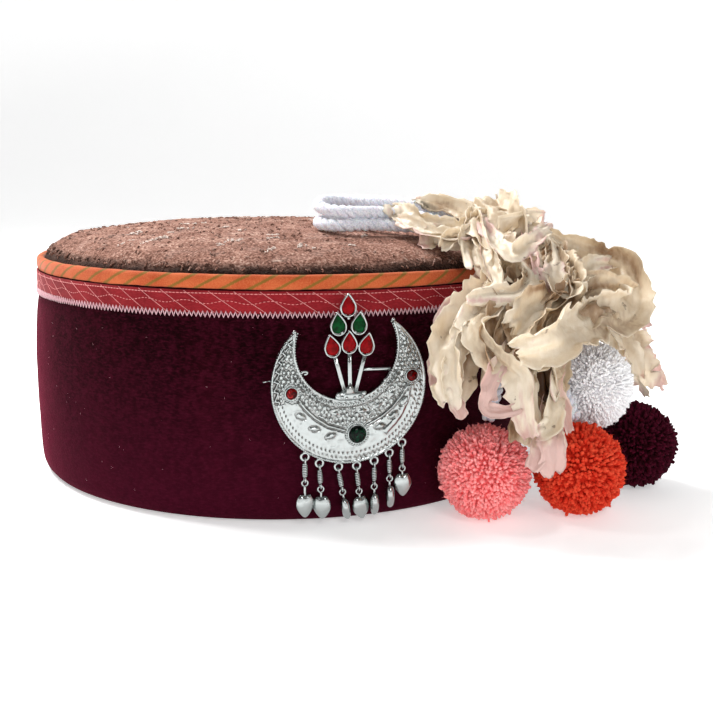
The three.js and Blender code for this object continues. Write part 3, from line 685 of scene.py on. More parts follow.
def make_pompom(colour):
    """A core with cut yarn standing all round it."""
    count, thick, spread, stray, *tones = POMPOMS[colour]
    material = yarn_material(colour + "_yarn", *(tone(*values) for values in tones))
    middle, half = node_box("pompom_" + colour)
    out = unit(even_directions(count) + rng.normal(0, 0.03, (count, 3)))
    lean = unit(out + rng.normal(0, spread, (count, 3)))
    across = unit(np.cross(lean, [0.3, 0.5, 0.81]))
    tall = 1 + rng.normal(0, 0.02, count) + lumps(out * 5, 2.1) * 0.02
    tall = np.where(rng.random(count) < stray, tall * 1.05, tall)
    tall = np.minimum(tall, 1.07)[:, None]
    thick = thick * rng.uniform(0.75, 1.25, (count, 1))
    bow = rng.normal(0, 0.5, (count, 3))
    rings = []
    for share, width in ((0.66, 0.8), (0.9, 1.08), (0.99, 0.85)):
        place = out * share * tall + (lean - out) * (share - 0.62) * 0.8
        rings.append((middle + place * half + bow * (share - 0.62), thick * width))
    tips = middle + (out * 1.008 * tall + (lean - out) * 0.31) * half + bow * 0.38
    # Painted shade: the marks are lowest at each tuft's root, and vary at random from tuft to tuft.
    marks = np.repeat([0.1, 0.75, 1.0], (4, 4, 5)) * rng.uniform(0.6, 1, count)[:, None]
    gather = Gather().spikes(rings, tips, across, np.cross(lean, across), 4, marks)
    points, *faces = ball(24, 16)
    gather.add((points * half * 0.88 + middle, *faces), 0.45)
    pick = rng.integers(0, count, 1000)
    gather.fuzz(tips[pick], out[pick], 0.9, 0.05, 0.9)
    return gather.build("yarn_" + colour, material, colour + "_yarn", "pompom_" + colour,
                        above_floor)


# ---------------------------------------------------------------- the cap


def turned_surface(profile, columns, relief):
    """A surface turned round the cap's axis from radius and height rows; relief lifts it."""
    profile = np.asarray(profile, float)
    points = round_cap(profile[:, :1], turns(columns), profile[:, 1:])
    run = unit(np.gradient(profile, axis=0))
    out = round_cap(run[:, 1:], turns(columns), -run[:, :1]) - AXIS
    return points + out * relief(points, profile)[..., None]


def wool_relief(points):
    """Curly wool: pinched curls on gentle waves."""
    return 0.14 * creases(points, 2.3) + 0.3 * lumps(points, 1.4) + 0.3 * lumps(points, 17)


def make_crown(material):
    """The wool as one closed shell, with its curls and its sag on the outside only."""
    inside, low, columns = WALL_RADIUS - WOOL_THICKNESS, 8.4, 480
    span = (SHOULDER_OUTER - SHOULDER_RADIUS) * np.sin(np.linspace(0.07, math.pi / 2, 24))
    top = np.concatenate([np.linspace(0.8, SHOULDER_RADIUS, 62), SHOULDER_RADIUS + span])[:, None]
    wall = np.array([[WALL_RADIUS, 70], [WALL_RADIUS, low], [inside, low], [inside, 60],
                     [inside - 0.8, 76], [84, 80.6], [SHOULDER_RADIUS, 83.6], [40, 88.2],
                     [0.8, CROWN_HEIGHT - WOOL_THICKNESS]])
    turn = turns(columns)
    x, y = top * np.sin(turn), -top * np.cos(turn)
    outside = on_crown(x, y)
    shown = np.clip((outside[..., 2:] - 79) / 3, 0, 1)
    outside = outside + crown_normals(x, y) * shown * wool_relief(outside)[..., None]
    points = np.vstack([outside, round_cap(wall[:, :1], turn, wall[:, 1:])])
    marks = np.zeros(points.shape[:2])
    # Painted shade: the marks fall from 0.3 to 0 towards the crown's outer edge, behind the binding.
    rim = np.clip((90.3 - top) / 3.2, 0, 1) * 0.3
    marks[:len(top)] = np.clip(rim + 0.06 * lumps(outside, 4), 0, 0.34)
    tops = AXIS + [[0, 0, CROWN_HEIGHT], [0, 0, CROWN_HEIGHT - WOOL_THICKNESS]]
    here, count = np.arange(columns), marks.size
    ahead, last = np.roll(here, -1), count - columns
    threes = np.vstack([joined(count, here, ahead), joined(count + 1, last + ahead, last + here)])
    quads = grid(len(points), columns, False, True)[:, ::-1]
    gather = Gather().add((np.vstack([points.reshape(-1, 3), tops]), quads, threes),
                          np.append(marks, [0.3, 0.3]))
    gather.build("crown_wool", material, "wool", "wool_crown")


def random_disc(count, radius):
    reach = radius * np.sqrt(rng.random(count))
    turn = rng.uniform(0, 2 * math.pi, count)
    return reach * np.cos(turn), reach * np.sin(turn)


def slub_rows():
    """Places, directions, lengths and widths of the pale slubs."""
    rows = [(-40, -60, 1.0, 15, 2), (2, -80, 1.3, 6, 2), (20, -50, 0.15, 5, 1.6),
            (-33, -40, 0.1, 7, 1.6), (-14, -70, 1.1, 10, 2), (28, -70, 0.1, 4, 1.4)]
    for _ in range(60):
        x, y = random_disc(1, 84)
        slope = rng.normal(1.2, 0.15) if rng.random() < 0.45 else rng.normal(0.1, 0.15)
        rows.append((x[0], y[0], slope, rng.uniform(2, 8), rng.uniform(0.9, 2)))
    return rows


def make_crown_loops(material):
    """Curls of yarn that stand out of the wool, and the pale slubs woven into it."""
    arc = np.linspace(0, math.pi * 1.1, 4)
    curl = tube(joined(np.cos(arc), 0.25 * np.sin(2 * arc), 0.5 * np.sin(arc)) * 0.5, 0.2, 3)
    gather = Gather()

    def scatter(x, y, sizes, marks):
        size, marks = rng.uniform(*sizes, len(x)), rng.uniform(*marks, len(x))
        out = crown_normals(x, y)
        along = rng.normal(size=(len(x), 3))
        along = along - out * (along * out).sum(-1)[:, None]
        gather.scatter(curl, on_crown(x, y, 0.1), standing(along, out) * size[:, None, None], marks)

    scatter(*random_disc(900, 90.5), (0.8, 1.4), (0.15, 0.42))
    # Larger curls round the shoulder, with lower marks for painted shade there.
    turn, reach = rng.uniform(0, 2 * math.pi, 420), rng.uniform(88.6, 90.6, 420)
    scatter(reach * np.cos(turn), reach * np.sin(turn), (0.9, 1.7), (0.05, 0.4))
    for x, y, slope, length, width in slub_rows():
        count = int(length * 2.4)
        run, off = rng.uniform(-length / 2, length / 2, count), rng.normal(0, width / 3, count)
        scatter(x + run * math.cos(slope) - off * math.sin(slope),
                y + run * math.sin(slope) + off * math.cos(slope), (0.55, 1.15), (0.7, 1))
    gather.build("crown_loops", material, "wool")


VELVET_PROFILE = [
    (84, 2), (84, 0), (88, 0), (91.4, 0.15), (93.6, 1), (95, 3.4), (95.8, 10), (96.2, 24),
    (96.3, 42), (95.4, 58), (94.3, 66.9), (94, 72), (94, 77.2),
]


def velvet_relief(points, profile):
    free = np.clip(profile[:, 1] / 8, 0, 1) * np.clip((70 - profile[:, 1]) / 10, 0, 1)
    return free[:, None] * (0.42 * lumps(points * [1, 1, 0.6], 26) + 0.1 * lumps(points, 6))


def make_velvet(material):
    outside = smooth_path([(radius, 0, height) for radius, height in VELVET_PROFILE[1:]], 1.9)
    inside, columns = BAND_RADIUS - VELVET_THICKNESS, 420
    profile = np.vstack([np.maximum(outside[:, [0, 2]], 0), (inside, VELVET_TOP), (inside, 40),
                         (inside, 8), (90, 3.6), VELVET_PROFILE[0]])
    points = turned_surface(profile, columns, velvet_relief)
    points[..., 2] = np.maximum(points[..., 2], 0)
    low = np.clip(1 - points[..., 2] / 55, 0, 1)
    gather = Gather().add((points, grid(len(profile), columns, True, True)), low.ravel())
    gather.build("velvet", material, "velvet", "velvet_band")


def make_lint(material):
    """Specks and hairs of pale lint caught in the velvet."""
    count = 240
    turn, height = rng.uniform(0, 2 * math.pi, count), rng.uniform(4, 66, count)
    radii, heights = np.transpose(VELVET_PROFILE[4:])
    roots = round_cap(np.interp(height, heights, radii) + 0.1, turn, height)
    outs = unit(away_from_cap(turn) + rng.normal(0, 1.2, (count, 3)))
    Gather().fuzz(roots, outs, 0.6, 0.03).build("velvet_lint", material, "velvet")


def make_ribbon(material):
    inner, outer, edge, columns = BAND_RADIUS + 0.15, BAND_RADIUS + 0.75, 0.3, 600
    profile = [(inner, RIBBON_LOW), (outer - edge, RIBBON_LOW), (outer, RIBBON_LOW + edge),
               *((outer, z) for z in np.linspace(RIBBON_LOW + 1, RIBBON_HIGH - 1, 8)),
               (outer, RIBBON_HIGH - edge), (outer - edge, RIBBON_HIGH), (inner, RIBBON_HIGH)]

    def relief(points, rows):
        return np.where(rows[:, :1] > inner + 0.1, 0.08, 0) * lumps(points, 4)

    points = turned_surface(profile, columns, relief)
    Gather().add((points, grid(len(profile), columns, True, True))).build(
        "ribbon", material, "ribbon", "red_ribbon")


def make_binding(material):
    """The rounded fold; the mark at each point counts the slanting stripes."""
    low, high = np.array([(BINDING_INNER, BINDING_LOW), (BINDING_OUTER, BINDING_HIGH)])
    profile = (low + high) / 2 + squarish(*(high - low) / 2, 0.75, 20)
    columns, stripes, slant = 720, 69, 1.5

    def relief(points, _):
        return 0.1 * lumps(points, 3.2) + 0.12 * lumps(points, 14)

    points = turned_surface(profile, columns, relief)
    points = np.concatenate([points, points[:, :1]], 1)
    rise = (profile[:, 1:] - BINDING_LOW) * 1.25
    phase = np.linspace(0, stripes, columns + 1) + 200
    phase = phase - rise * slant * stripes / (2 * math.pi * BINDING_OUTER)
    marks = phase + 0.04 * lumps(points, 5)
    Gather().add((points, grid(len(profile), columns + 1, True)), marks.ravel()).build(
        "binding", material, "binding", "orange_binding")


def make_stitches(material):
    """Running stitches along the ribbon, a straight row and a wavy one, over slanting lines."""
    gather = Gather()
    girth = 2 * math.pi * STITCH_RADIUS
    waves, swing, lines, run = 43, 0.5, 73, 10
    arc = np.linspace(0, girth, 470, endpoint=False)
    turn = arc / STITCH_RADIUS
    phase = arc / girth * waves * 2 * math.pi
    slopes = swing * np.cos(phase) * waves * 2 * math.pi / girth
    for height, slope, length, thick in (
        (74.1 + 0.1 * np.sin(arc / 7), 0, 0.95, 0.15),
        (71.4 + swing * np.sin(phase), slopes, 0.75, 0.12),
    ):
        along = joined(np.cos(turn), np.sin(turn), slope)
        frames = standing(along, away_from_cap(turn)) * (length, thick, thick)
        gather.scatter(rod(), round_cap(STITCH_RADIUS, turn, height), frames, rng.random(len(arc)))
    for start in np.arange(lines) * girth / lines:
        along = start + np.linspace(0, run, 8)
        height = np.linspace(RIBBON_HIGH - 0.2, RIBBON_LOW + 0.3, 8)
        gather.add(tube(round_cap(STITCH_RADIUS, along / STITCH_RADIUS, height), 0.09, 4),
                   rng.random())
    gather.build("ribbon_stitches", material, "ribbon")


def make_zigzag(material):
    """The pale zigzag that sews the ribbon's lower edge down."""
    radius, teeth = STITCH_RADIUS + 0.15, 392
    girth = 2 * math.pi * radius
    arc = np.linspace(0, girth, teeth * 4, endpoint=False)
    swing = wave(arc, girth / teeth) * (0.95 + 0.2 * lumps(arc[:, None] * [1, 0, 0], 3))
    path = round_cap(radius, (arc + 0.12 * np.sin(arc / 5)) / radius, RIBBON_LOW - 0.2 + swing)
    Gather().add(tube(path, 0.2, 5)).build("zigzag_stitches", material, "ribbon")


# ---------------------------------------------------------------- the brooch
# Its own axes are u to the right, v up and w out from the band.

BROOCH_TURN, BROOCH_HEIGHT, BACK = 16.3, 45.6, 4.0
CRESCENT = {"outer": 25.1, "inner": 16.4, "offset": 12.2, "lean": 4.5, "turns": (-138.5, 140.5)}


def from_brooch(points):
    """Takes u, v, w points to the cap's front."""
    u, v, w = np.asarray(points).T
    return turned_by(joined(u, -w - BAND_RADIUS, v + BROOCH_HEIGHT), BROOCH_TURN, AXIS)


def turned_by(points, degrees, place=(0, 0, 0), axis="Z"):
    turn = np.array(Matrix.Rotation(math.radians(degrees), 3, axis))
    return np.asarray(points) @ turn.T + place


LEAVES = [
    (-15.7, -8.9, -27), (-11.3, -13.1, -6), (-6.1, -15.7, 17),
    (9.9, -13.5, 9), (14.4, -10, 33), (17.7, -5.5, 50),
]
LEFT_VINE = [(-1.6, -14.2), (-7, -12.4), (-11, -9.8), (-14.3, -6.6), (-16.4, -3.6)]
RIGHT_VINE = [(5.6, -12.8), (10, -10.6), (13.8, -7.6), (17, -3.8), (18.9, -0.6)]
RIGHT_RIB = [(11.9, -15), (14.4, -12.6), (16.6, -9.6), (18.3, -6), (19.3, -1.4)]
DIAMONDS = [(13.9, -3.2, 50, 1.9), (9.4, -6.6, 32, 2.1), (4.2, -8.2, 10, 1.7),
            (-4.6, -8.6, -20, 1.5)]
STONES = [
    ("stone_red_left", (-18.7, -1.5), 1.8), ("stone_red_right", (20.4, 2.5), 1.8),
    ("stone_green", (2.5, -15.6), 2.8),
]


def near_line(points, line):
    """Distances from points to a line through a few corners."""
    line = np.asarray(line, float)
    best = np.full(points.shape[:-1], 1e9)
    for a, b in zip(line, line[1:]):
        share = np.clip(((points - a) @ (b - a)) / (b - a).dot(b - a), 0, 1)
        best = np.minimum(best, np.linalg.norm(points - a - share[..., None] * (b - a), axis=-1))
    return best


def ridge(distance, half, height):
    """A rounded ridge of that half width."""
    return height * np.sqrt(np.clip(1 - (distance / half) ** 2, 0, 1))


def wave(arc, pitch):
    """A zigzag between -1 and 1."""
    return np.abs(arc / pitch % 1 * 2 - 1) * 2 - 1


def turned_to(flat, place, slope):
    """Distances along and across a slope from a place."""
    along = flat - place
    c, s = math.cos(math.radians(slope)), math.sin(math.radians(slope))
    return along[..., 0] * c + along[..., 1] * s, along[..., 1] * c - along[..., 0] * s


def border_relief(height, flat, out, into, arc):
    """The rims, the zigzag up the left horn, and the chevrons and dots along the bottom."""
    u, v = flat[..., 0], flat[..., 1]
    height = height + ridge(out - 0.5, 0.45, 0.35) + ridge(into - 0.45, 0.4, 0.35)
    horn = (v > -5) & (u < 0) & (into > 1.2)
    height += ridge(out - 2.1 - 0.85 * wave(arc, 3.2), 0.5, 1.15) * horn
    height -= 0.5 * horn * (out < 3.4) * (out > 0.9)
    low = v < np.where(u < 0, -5, 1)
    broken = np.where(u < 2, (arc / 1.6 + 0.25) % 1 < 0.6, True)
    height -= ridge(out - 1.8 - 0.42 * wave(arc, 1.6), 0.24, 0.4) * low * broken
    dots = np.hypot(out - 3.55, (arc / 1.6 % 1 - 0.5) * 1.6)
    return height - ridge(dots, 0.4, 0.45) * low


def field_relief(height, flat):
    """The vines, the rib on the right, and the leaves in their sunk outlines."""
    vine = np.minimum(near_line(flat, LEFT_VINE), near_line(flat, RIGHT_VINE))
    height = height + ridge(vine, 0.36, 0.45) - ridge(vine - 0.62, 0.26, 0.35)
    height += ridge(near_line(flat, RIGHT_RIB), 0.95, 0.6)
    height += 0.13 * lumps(joined(flat[..., 0], flat[..., 1], 0), 1.0)
    for *place, slope in LEAVES:
        x, y = turned_to(flat, place, slope)
        round_leaf = (x / 1.75) ** 2 + (np.abs(y) / 0.8) ** 1.4
        height += 0.65 * np.sqrt(np.clip(1 - round_leaf, 0, 1))
        height -= ridge(np.sqrt(round_leaf) - 1.17, 0.16, 0.28)
    return height


def grain_relief(flat):
    """Ringed grains in uneven rows, and small scrolls over them."""
    relief, pitch = 0.0, 1.5
    for i in range(-18, 19):
        for j in range(-14, 17):
            place = np.array([i + 0.5 * (j % 2), j * 0.87]) * pitch + rng.normal(0, 0.16, 2)
            size = rng.uniform(0.5, 0.78)
            gap = np.linalg.norm(flat - place, axis=-1)
            if gap.min() < 0.4:
                hole = 0.35 if place[1] < 0 else 0.1
                grain = ridge(gap, size, 0.75) - ridge(gap, size * 0.45, hole)
                relief = np.maximum(relief, grain)
    for _ in range(46):
        middle = rng.uniform((-23, -12), (23, 18))
        turn = rng.uniform(0, 6.3) + np.linspace(0, 3.6, 6)
        curl = middle + joined(np.cos(turn), np.sin(turn)) * rng.uniform(0.5, 0.9)
        if np.linalg.norm(flat - middle, axis=-1).min() < 0.6:
            relief = np.maximum(relief, ridge(near_line(flat, curl), 0.28, 0.85))
    return relief


def belt_relief(height, flat, out, into, arc):
    """Rings along the inner edge, a groove, grains on the belt and horns, and cut diamonds."""
    u, v = flat[..., 0], flat[..., 1]
    ring = np.hypot(into - 1.65, (arc * 0.547 / 1.6 % 1 - 0.5) * 1.6)
    belt = (v < 4) & (out > 4)
    height = height + ridge(ring - 0.5, 0.26, 0.5) * belt
    height -= ridge(into - 2.85, 0.24, 0.45) * belt
    vine = np.array(LEFT_VINE[::-1] + RIGHT_VINE)
    grained = (v > np.interp(u, vine[:, 0], vine[:, 1]) + 1.1) & (into > 3.2) & (out > 4.6)
    grained |= (v > 0) & (out > np.where(u < 0, 2.9, 1.7)) & (into > 1.0)
    grained |= (v > -5) & (u < 0) & (out > 3.2) & (into > 1.0)
    height = height + np.where(grained, grain_relief(flat) - 0.3, 0)
    for *place, slope, half in DIAMONDS:
        x, y = turned_to(flat, place, slope)
        cut = 1 - np.abs(x) / half - np.abs(y) / 1.15
        height = np.where(cut > -0.25, 1.35 + 0.85 * np.maximum(cut, 0), height)
    return height


def recess(height, reach=4):
    """How far each point lies below the mean of the points about it."""
    mean = height
    for axis in (0, 1):
        mean = sum(np.roll(mean, k, axis) for k in range(-reach, reach + 1)) / (2 * reach + 1)
    return mean - height


def make_crescent(material):
    """The crescent with its relief; gives back its outer and inner outlines."""
    steps, across = 560, 80
    turn = np.radians(np.linspace(*CRESCENT["turns"], steps))
    outer, inner, lean = CRESCENT["outer"], CRESCENT["inner"], turn * 0.81
    spin = np.array(Matrix.Rotation(math.radians(CRESCENT["lean"]), 2)).T
    outside = joined(outer * np.sin(turn), -outer * np.cos(turn) - 0.1) @ spin
    inside = joined(inner * np.sin(lean), CRESCENT["offset"] - inner * np.cos(lean)) @ spin
    share = np.linspace(0, 1, across)
    flat = outside[:, None] + (inside - outside)[:, None] * share[None, :, None]
    width = np.linalg.norm(inside - outside, axis=-1)[:, None]
    out, into = width * share, width * (1 - share)
    arc = np.broadcast_to((turn * outer)[:, None], out.shape)
    height = 1.1 + 0.45 * np.sin(math.pi * np.clip(out / (out + into), 0, 1))
    height = field_relief(border_relief(height, flat, out, into, arc), flat)
    height = belt_relief(height, flat, out, into, arc)
    for _, place, radius in STONES:
        gap = np.linalg.norm(flat - place, axis=-1)
        height = np.where(gap < radius + 1.2, np.minimum(height, 1.3), height)
    edge = np.clip(np.minimum(out, into) / 0.25, 0, 1)
    height = 0.5 + (np.clip(height, 0.7, 2.6) - 0.5) * edge
    points = np.concatenate([joined(flat[..., 0], flat[..., 1], BACK + height),
                             joined(flat[:, [-1, 0], 0], flat[:, [-1, 0], 1], BACK)], 1)
    columns = across + 2
    ends = [[row * columns, row * columns + j, row * columns + j + 1][::flip]
            for row, flip in ((0, -1), (steps - 1, 1)) for j in range(1, columns - 1)]
    deep = np.clip((recess(height) + 0.01) / 0.34, 0, 1)
    marks = np.concatenate([deep, np.zeros((steps, 2))], 1)
    quads = grid(steps, columns, False, True)[:, ::-1]
    Gather().add((points, quads, ends), marks.ravel()).build(
        "silver_crescent", material, "silver", "brooch_crescent", from_brooch)
    return outside, inside


DROPS = {
    "enamel_top": (-0.6, 25.5, 0, "red"), "enamel_upper_left": (-3.8, 19.7, 6, "green"),
    "enamel_upper_right": (3, 19.8, -6, "green"), "enamel_lower_left": (-5.8, 12.9, 12, "red"),
    "enamel_lower_middle": (-0.2, 13.9, 0, "red"), "enamel_lower_right": (5.5, 13.1, -12, "red"),
}
DROP_WIDTH, DROP_HEIGHT = 5.2, 7.7
SPRAY_BACK = BACK + 0.6
SPRAY_FLOOR = SPRAY_BACK + 0.6


def drop_ring(width, height, lift=0.0):
    """A drop outline: a round bottom, and straight sides up to a point."""
    half = width / 2
    reach = height - half
    turn = np.linspace(-math.pi / 2, math.asin(half / reach), 16)
    side = np.vstack([half * joined(np.cos(turn), np.sin(turn)), (0, reach)])
    x, y = evenly(side, lambda _: 20).T
    x = x + 0.07 * width * np.sin(math.pi * np.clip(y / reach, 0, 1))
    right = joined(x, y + half - height / 2, lift)
    return np.vstack([right, right[-2:0:-1] * [-1, 1, 1]])


def bar(start, end, half, low, high):
    """A flat bar with a shallow groove along its top."""
    ahead = np.array(end) - start
    side = np.array([-ahead[1], ahead[0]]) / np.linalg.norm(ahead)
    section = [(1, low), (1, high), (0.6, high + 0.1), (0, high - 0.15), (-0.6, high + 0.1),
               (-1, high), (-1, low)]
    return stacked([np.array([[*(middle + side * half * x), w] for x, w in section])
                    for middle in np.linspace(start, end, 4)])


def circle(radius, count=24):
    return joined(radius * np.cos(turns(count)), radius * np.sin(turns(count)), 0)


def build_glass(name, shape, materials, colour, marks=0.0):
    Gather().add(shape, marks).build(name + "_glass", materials[colour], colour + "_enamel",
                                     name, from_brooch)


def make_enamel(materials):
    """Each drop's glossy filling, a little domed inside its rim."""
    for name, (u, v, lean, colour) in DROPS.items():
        rings = [turned_by(drop_ring((DROP_WIDTH - 1) * share, (DROP_HEIGHT - 1.6) * share,
                                     SPRAY_BACK + lift) - [0, 0.1, 0], lean, (u, v, 0))
                 for share, lift in ((0.98, 0.1), (1, 0.6), (0.9, 0.86), (0.6, 1), (0.25, 1.06))]
        build_glass(name, stacked(rings), materials, colour)


def make_stones(materials):
    """Domed stones, cut in small facets, with painted glints on facets picked by chance."""
    facets = 12
    for name, (u, v), radius in STONES:
        rings = []
        for k, (size, lift) in enumerate(((0.98, 0), (1, 0.5), (0.93, 0.9), (0.76, 1.25),
                                          (0.52, 1.5), (0.26, 1.6))):
            turn = turns(facets) + math.pi * k / facets
            reach, height = radius * size, BACK + 1.6 + lift * radius / 2.6
            rings.append(joined(u + reach * np.cos(turn), v + reach * np.sin(turn), height))
        shape = stacked(rings)
        # Random marks give painted glints on a few facets.
        build_glass(name, shape, materials, "green" if "green" in name else "red",
                    rng.random(len(shape[0])) ** 2.5)


# Each dangle: its turn round the crescent, its length, and its heart's turn and lean.
DANGLES = [
    (-33, 15.6, 8, 0), (-21.5, 14.2, -25, 3.5), (-7.5, 13.7, 80, 11), (5.5, 13.6, 14, 7),
    (18.5, 13.8, 82, 1), (30.5, 14, 80, 2), (42, 13.6, 0, 2),
]
LOOP_RADIUS, EYE_RADIUS, LINK_LENGTH = 1.25, 0.95, 4.4


def loop_place(turn):
    reach, angle = CRESCENT["outer"] + 1.2, math.radians(turn)
    return np.array([reach * math.sin(angle), -reach * math.cos(angle), BACK + 0.7])


def beads_along(gather, line, pitch, radius, lift):
    """Round beads set at even steps along a line."""
    places = evenly(line, lambda length: int(length / pitch))
    gather.beads(joined(*places.T[:2], lift), radius, ball(7, 5))


def add_rims(gather, outside, inside):
    """Beads along the crescent's edges, and a larger one on each tip."""
    beads_along(gather, outside * 0.985, 0.84, 0.37, BACK + 1.25)
    beads_along(gather, inside + (outside - inside) * 0.02, 0.84, 0.34, BACK + 1.2)
    tips = (outside[[0, -1]] + inside[[0, -1]]) / 2 * 1.01
    gather.beads(joined(*tips.T, BACK + 0.8), 0.7)


def add_stone_rings(gather):
    """A raised ring about each stone, and beads about the ring."""
    section = (0.5, 0.4), (0.45, 1.5), (0.32, 1.95), (0.1, 2.0), (-0.05, 1.6)
    for _, place, radius in STONES:
        gather.add(layered((circle(radius + reach, 36) + (*place, 0), BACK + lift)
                           for reach, lift in section))
        beads_along(gather, circle(radius + 0.9, 40) + (*place, 0), 0.86, 0.36, BACK + 1.35)


def add_spray(gather):
    """The cups that hold the enamel, on grooved stems, with blobs of solder between them."""
    sizes = (0.4, 0.4, 0), (0.1, 0.1, 0.2), (0.3, 0.3, 0.4), (0.5, 0.6, 1.0)
    for u, v, lean, _ in DROPS.values():
        *cup, rim = [turned_by(drop_ring(DROP_WIDTH - narrower, DROP_HEIGHT - shorter,
                                         SPRAY_BACK + lift), lean, (u, v, 0))
                     for narrower, shorter, lift in sizes]
        gather.add(stacked(cup), 0.3).add(tube(rim, 0.27, 8, True), 0.1)
    for start, end in (((-1.6, -2.2), (-4.9, 9.7)), ((0.1, -2.2), (-0.2, 10.3)),
                       ((1.8, -2.2), (4.8, 9.9))):
        gather.add(bar(start, end, 0.62, SPRAY_BACK, SPRAY_FLOOR + 0.45), 0.1)
    u, v, radius = np.array([(-2.5, 16.9, 0.6), (1.7, 17, 0.6), (-0.5, 21.4, 0.6),
                             (-3.1, 12.6, 0.5), (2.6, 12.6, 0.5)]).T
    gather.beads(joined(u, v, SPRAY_FLOOR), radius, ball(10, 8))


def add_base(gather):
    """The stepped block that the stems grow from, with its balls and its dark cut point."""
    steps = (4.7, 1.5, 0), (4.7, 1.5, 0.9), (4.1, 1.1, 1.25), (2.2, 0.6, 1.6)
    gather.add(layered((squarish(wide, high, 0.6, 32) - [0, 3.2], SPRAY_BACK + lift)
                       for wide, high, lift in steps))
    u, v, radius = np.array([(-3.9, -2.5, 0.85), (4.4, -2.3, 0.85), (-2.6, -3.4, 0.6),
                             (3.2, -3.4, 0.65), (-1.2, -3.7, 0.55), (1.4, -3.7, 0.55)]).T
    gather.beads(joined(u, v, SPRAY_FLOOR + 0.9), radius)
    point = np.array([(-1.7, -2.6), (1.7, -2.6), (1.3, -0.6), (0.1, 0.9), (-1.2, -0.6)])
    gather.add(layered((point * size - [0, 1.2 * (1 - size)], SPRAY_BACK + lift)
                       for size, lift in ((1, 0.6), (1, 1.3), (0.45, 1.9))), 0.5)


def add_fittings(gather):
    """A lone bead, the loops that the drops hang in, and the curled end of the catch."""
    gather.beads([(11.7, 1.2, BACK + 0.9)], 0.7)
    for turn, *_ in DANGLES:
        gather.add(tube(circle(LOOP_RADIUS - 0.05) + loop_place(turn), 0.45, 8, True))
    turn = np.linspace(-1.6, 3.4, 18)
    gather.add(tube(joined(-14.4 + 0.95 * np.cos(turn), 4.6 + 0.5 * np.sin(turn),
                           BACK + 0.6 + 0.12 * turn), 0.38, 8))


def make_setting(material, outside, inside):
    """All the silver that is soldered onto the crescent."""
    gather = Gather()
    add_rims(gather, outside, inside)
    for add_part in (add_stone_rings, add_spray, add_base, add_fittings):
        add_part(gather)
    gather.build("silver_setting", material, "silver", None, from_brooch)


def make_dangles(material):
    """Each drop: a wound link that hangs in its loop, and a puffed heart that hangs in that."""
    eye, top, wind = circle(EYE_RADIUS, 20), -0.9, np.linspace(0, 1, 120)
    side_eye, foot = turned_by(eye, 90, axis="Y"), top - LINK_LENGTH
    swell = 0.75 * (0.7 + 0.3 * np.sin(math.pi * wind) ** 0.5)
    coil = joined(swell * np.cos(wind * 50), top - LINK_LENGTH * wind, swell * np.sin(wind * 50))
    points, *faces = heart_shape()
    for number, (turn, length, heart_turn, lean) in enumerate(DANGLES, 1):
        above = length - LINK_LENGTH - 4.15
        link = Gather().add(tube(side_eye, 0.3, 7, True)).add(tube(coil, 0.3, 6))
        link.add(tube(np.linspace([0, top + 0.2, 0], [0, foot - 0.2, 0], 6), 0.5, 8), 0.8)
        link.add(tube(side_eye + [0, foot - 0.85, 0], 0.3, 7, True))
        heart = Gather().add(tube(eye + [0, above, 0], 0.3, 7, True))
        heart.add(tube(np.linspace([0, above - 0.9, 0], [0, 1.6, 0], 5), 0.42, 8))
        heart.add((turned_by(points, heart_turn, axis="Y"), *faces))
        hang = loop_place(turn) - [0, LOOP_RADIUS + 0.1, 0]
        for kind, gather, drop in (("link", link, 0), ("heart", heart, LOOP_RADIUS - length)):
            gather.build(f"silver_{kind}_{number}", material, "silver", f"{kind}_{number}",
                         lambda at: from_brooch(turned_by(at + [0, drop, 0], lean, hang)))


def heart_shape():
    """A long puffed heart: broad lobes with a shallow notch, and a blunt point."""
    x, y = -np.sin(turns(48)), np.cos(turns(48))
    narrow = np.where(y < 0, 1 - 0.45 * np.abs(y) ** 1.4, 1)
    notch = 1.1 * np.exp(-(x / 0.42) ** 2) * (y > 0)
    outline = joined(3 * x * narrow, 4.25 * y - notch)
    return layered((outline * math.cos(puff) ** 0.7, 1.5 * math.sin(puff))
                   for puff in np.linspace(-1.45, 1.45, 17))


def make_pin(material):
    """The pin, run through the cloth between its hinge block and its catch."""
    path = smooth_path([(17.5, 4.3, 3), (11, 4.5, 2.9), (6, 4.5, 2.6), (3.4, 4.3, 1.2),
                        (-2, 3.7, 0.3), (-12, 2.8, -0.6), (-20, 2, -1), (-24, 1.7, 0.2),
                        (-26.6, 1.5, 0.7)], 1.2)
    left = np.linspace(1, 0, len(path))
    gather = Gather().add(tube(path, 0.6 * np.clip(left * 12, 0.3, 1), 10))
    corners = np.array([(-1, -1), (1, -1), (1, 1), (-1, 1)])
    for half, place, heights in (((1.6, 2), (17.5, 4.9), (2.1, 3.7)),
                                 ((0.8, 1.5), (-20.5, 3.1), (0.7, 3.7))):
        gather.add(layered((corners * half + place, height) for height in heights))
    gather.build("silver_pin", material, "silver", "brooch_pin", from_brooch)


# ---------------------------------------------------------------- the petal plume

STALK = [
    (58, -40, 103), (72, -44, 99), (86, -52, 94), (97, -64, 85), (100, -76, 71), (96, -86, 57),
    (92, -93, 45),
]
# How far in front of the cap's axis the middle of the plume hangs at each height. To the right
# of "side" it falls back as far as it goes right.
DRAPE = {"height": (20, 45, 60, 75, 90, 105), "out": (109, 106, 100, 88, 66, 32), "side": 85}
LAYERS = {"behind": -16, "back": -6, "middle": 0, "front": 5, "cup": 12}
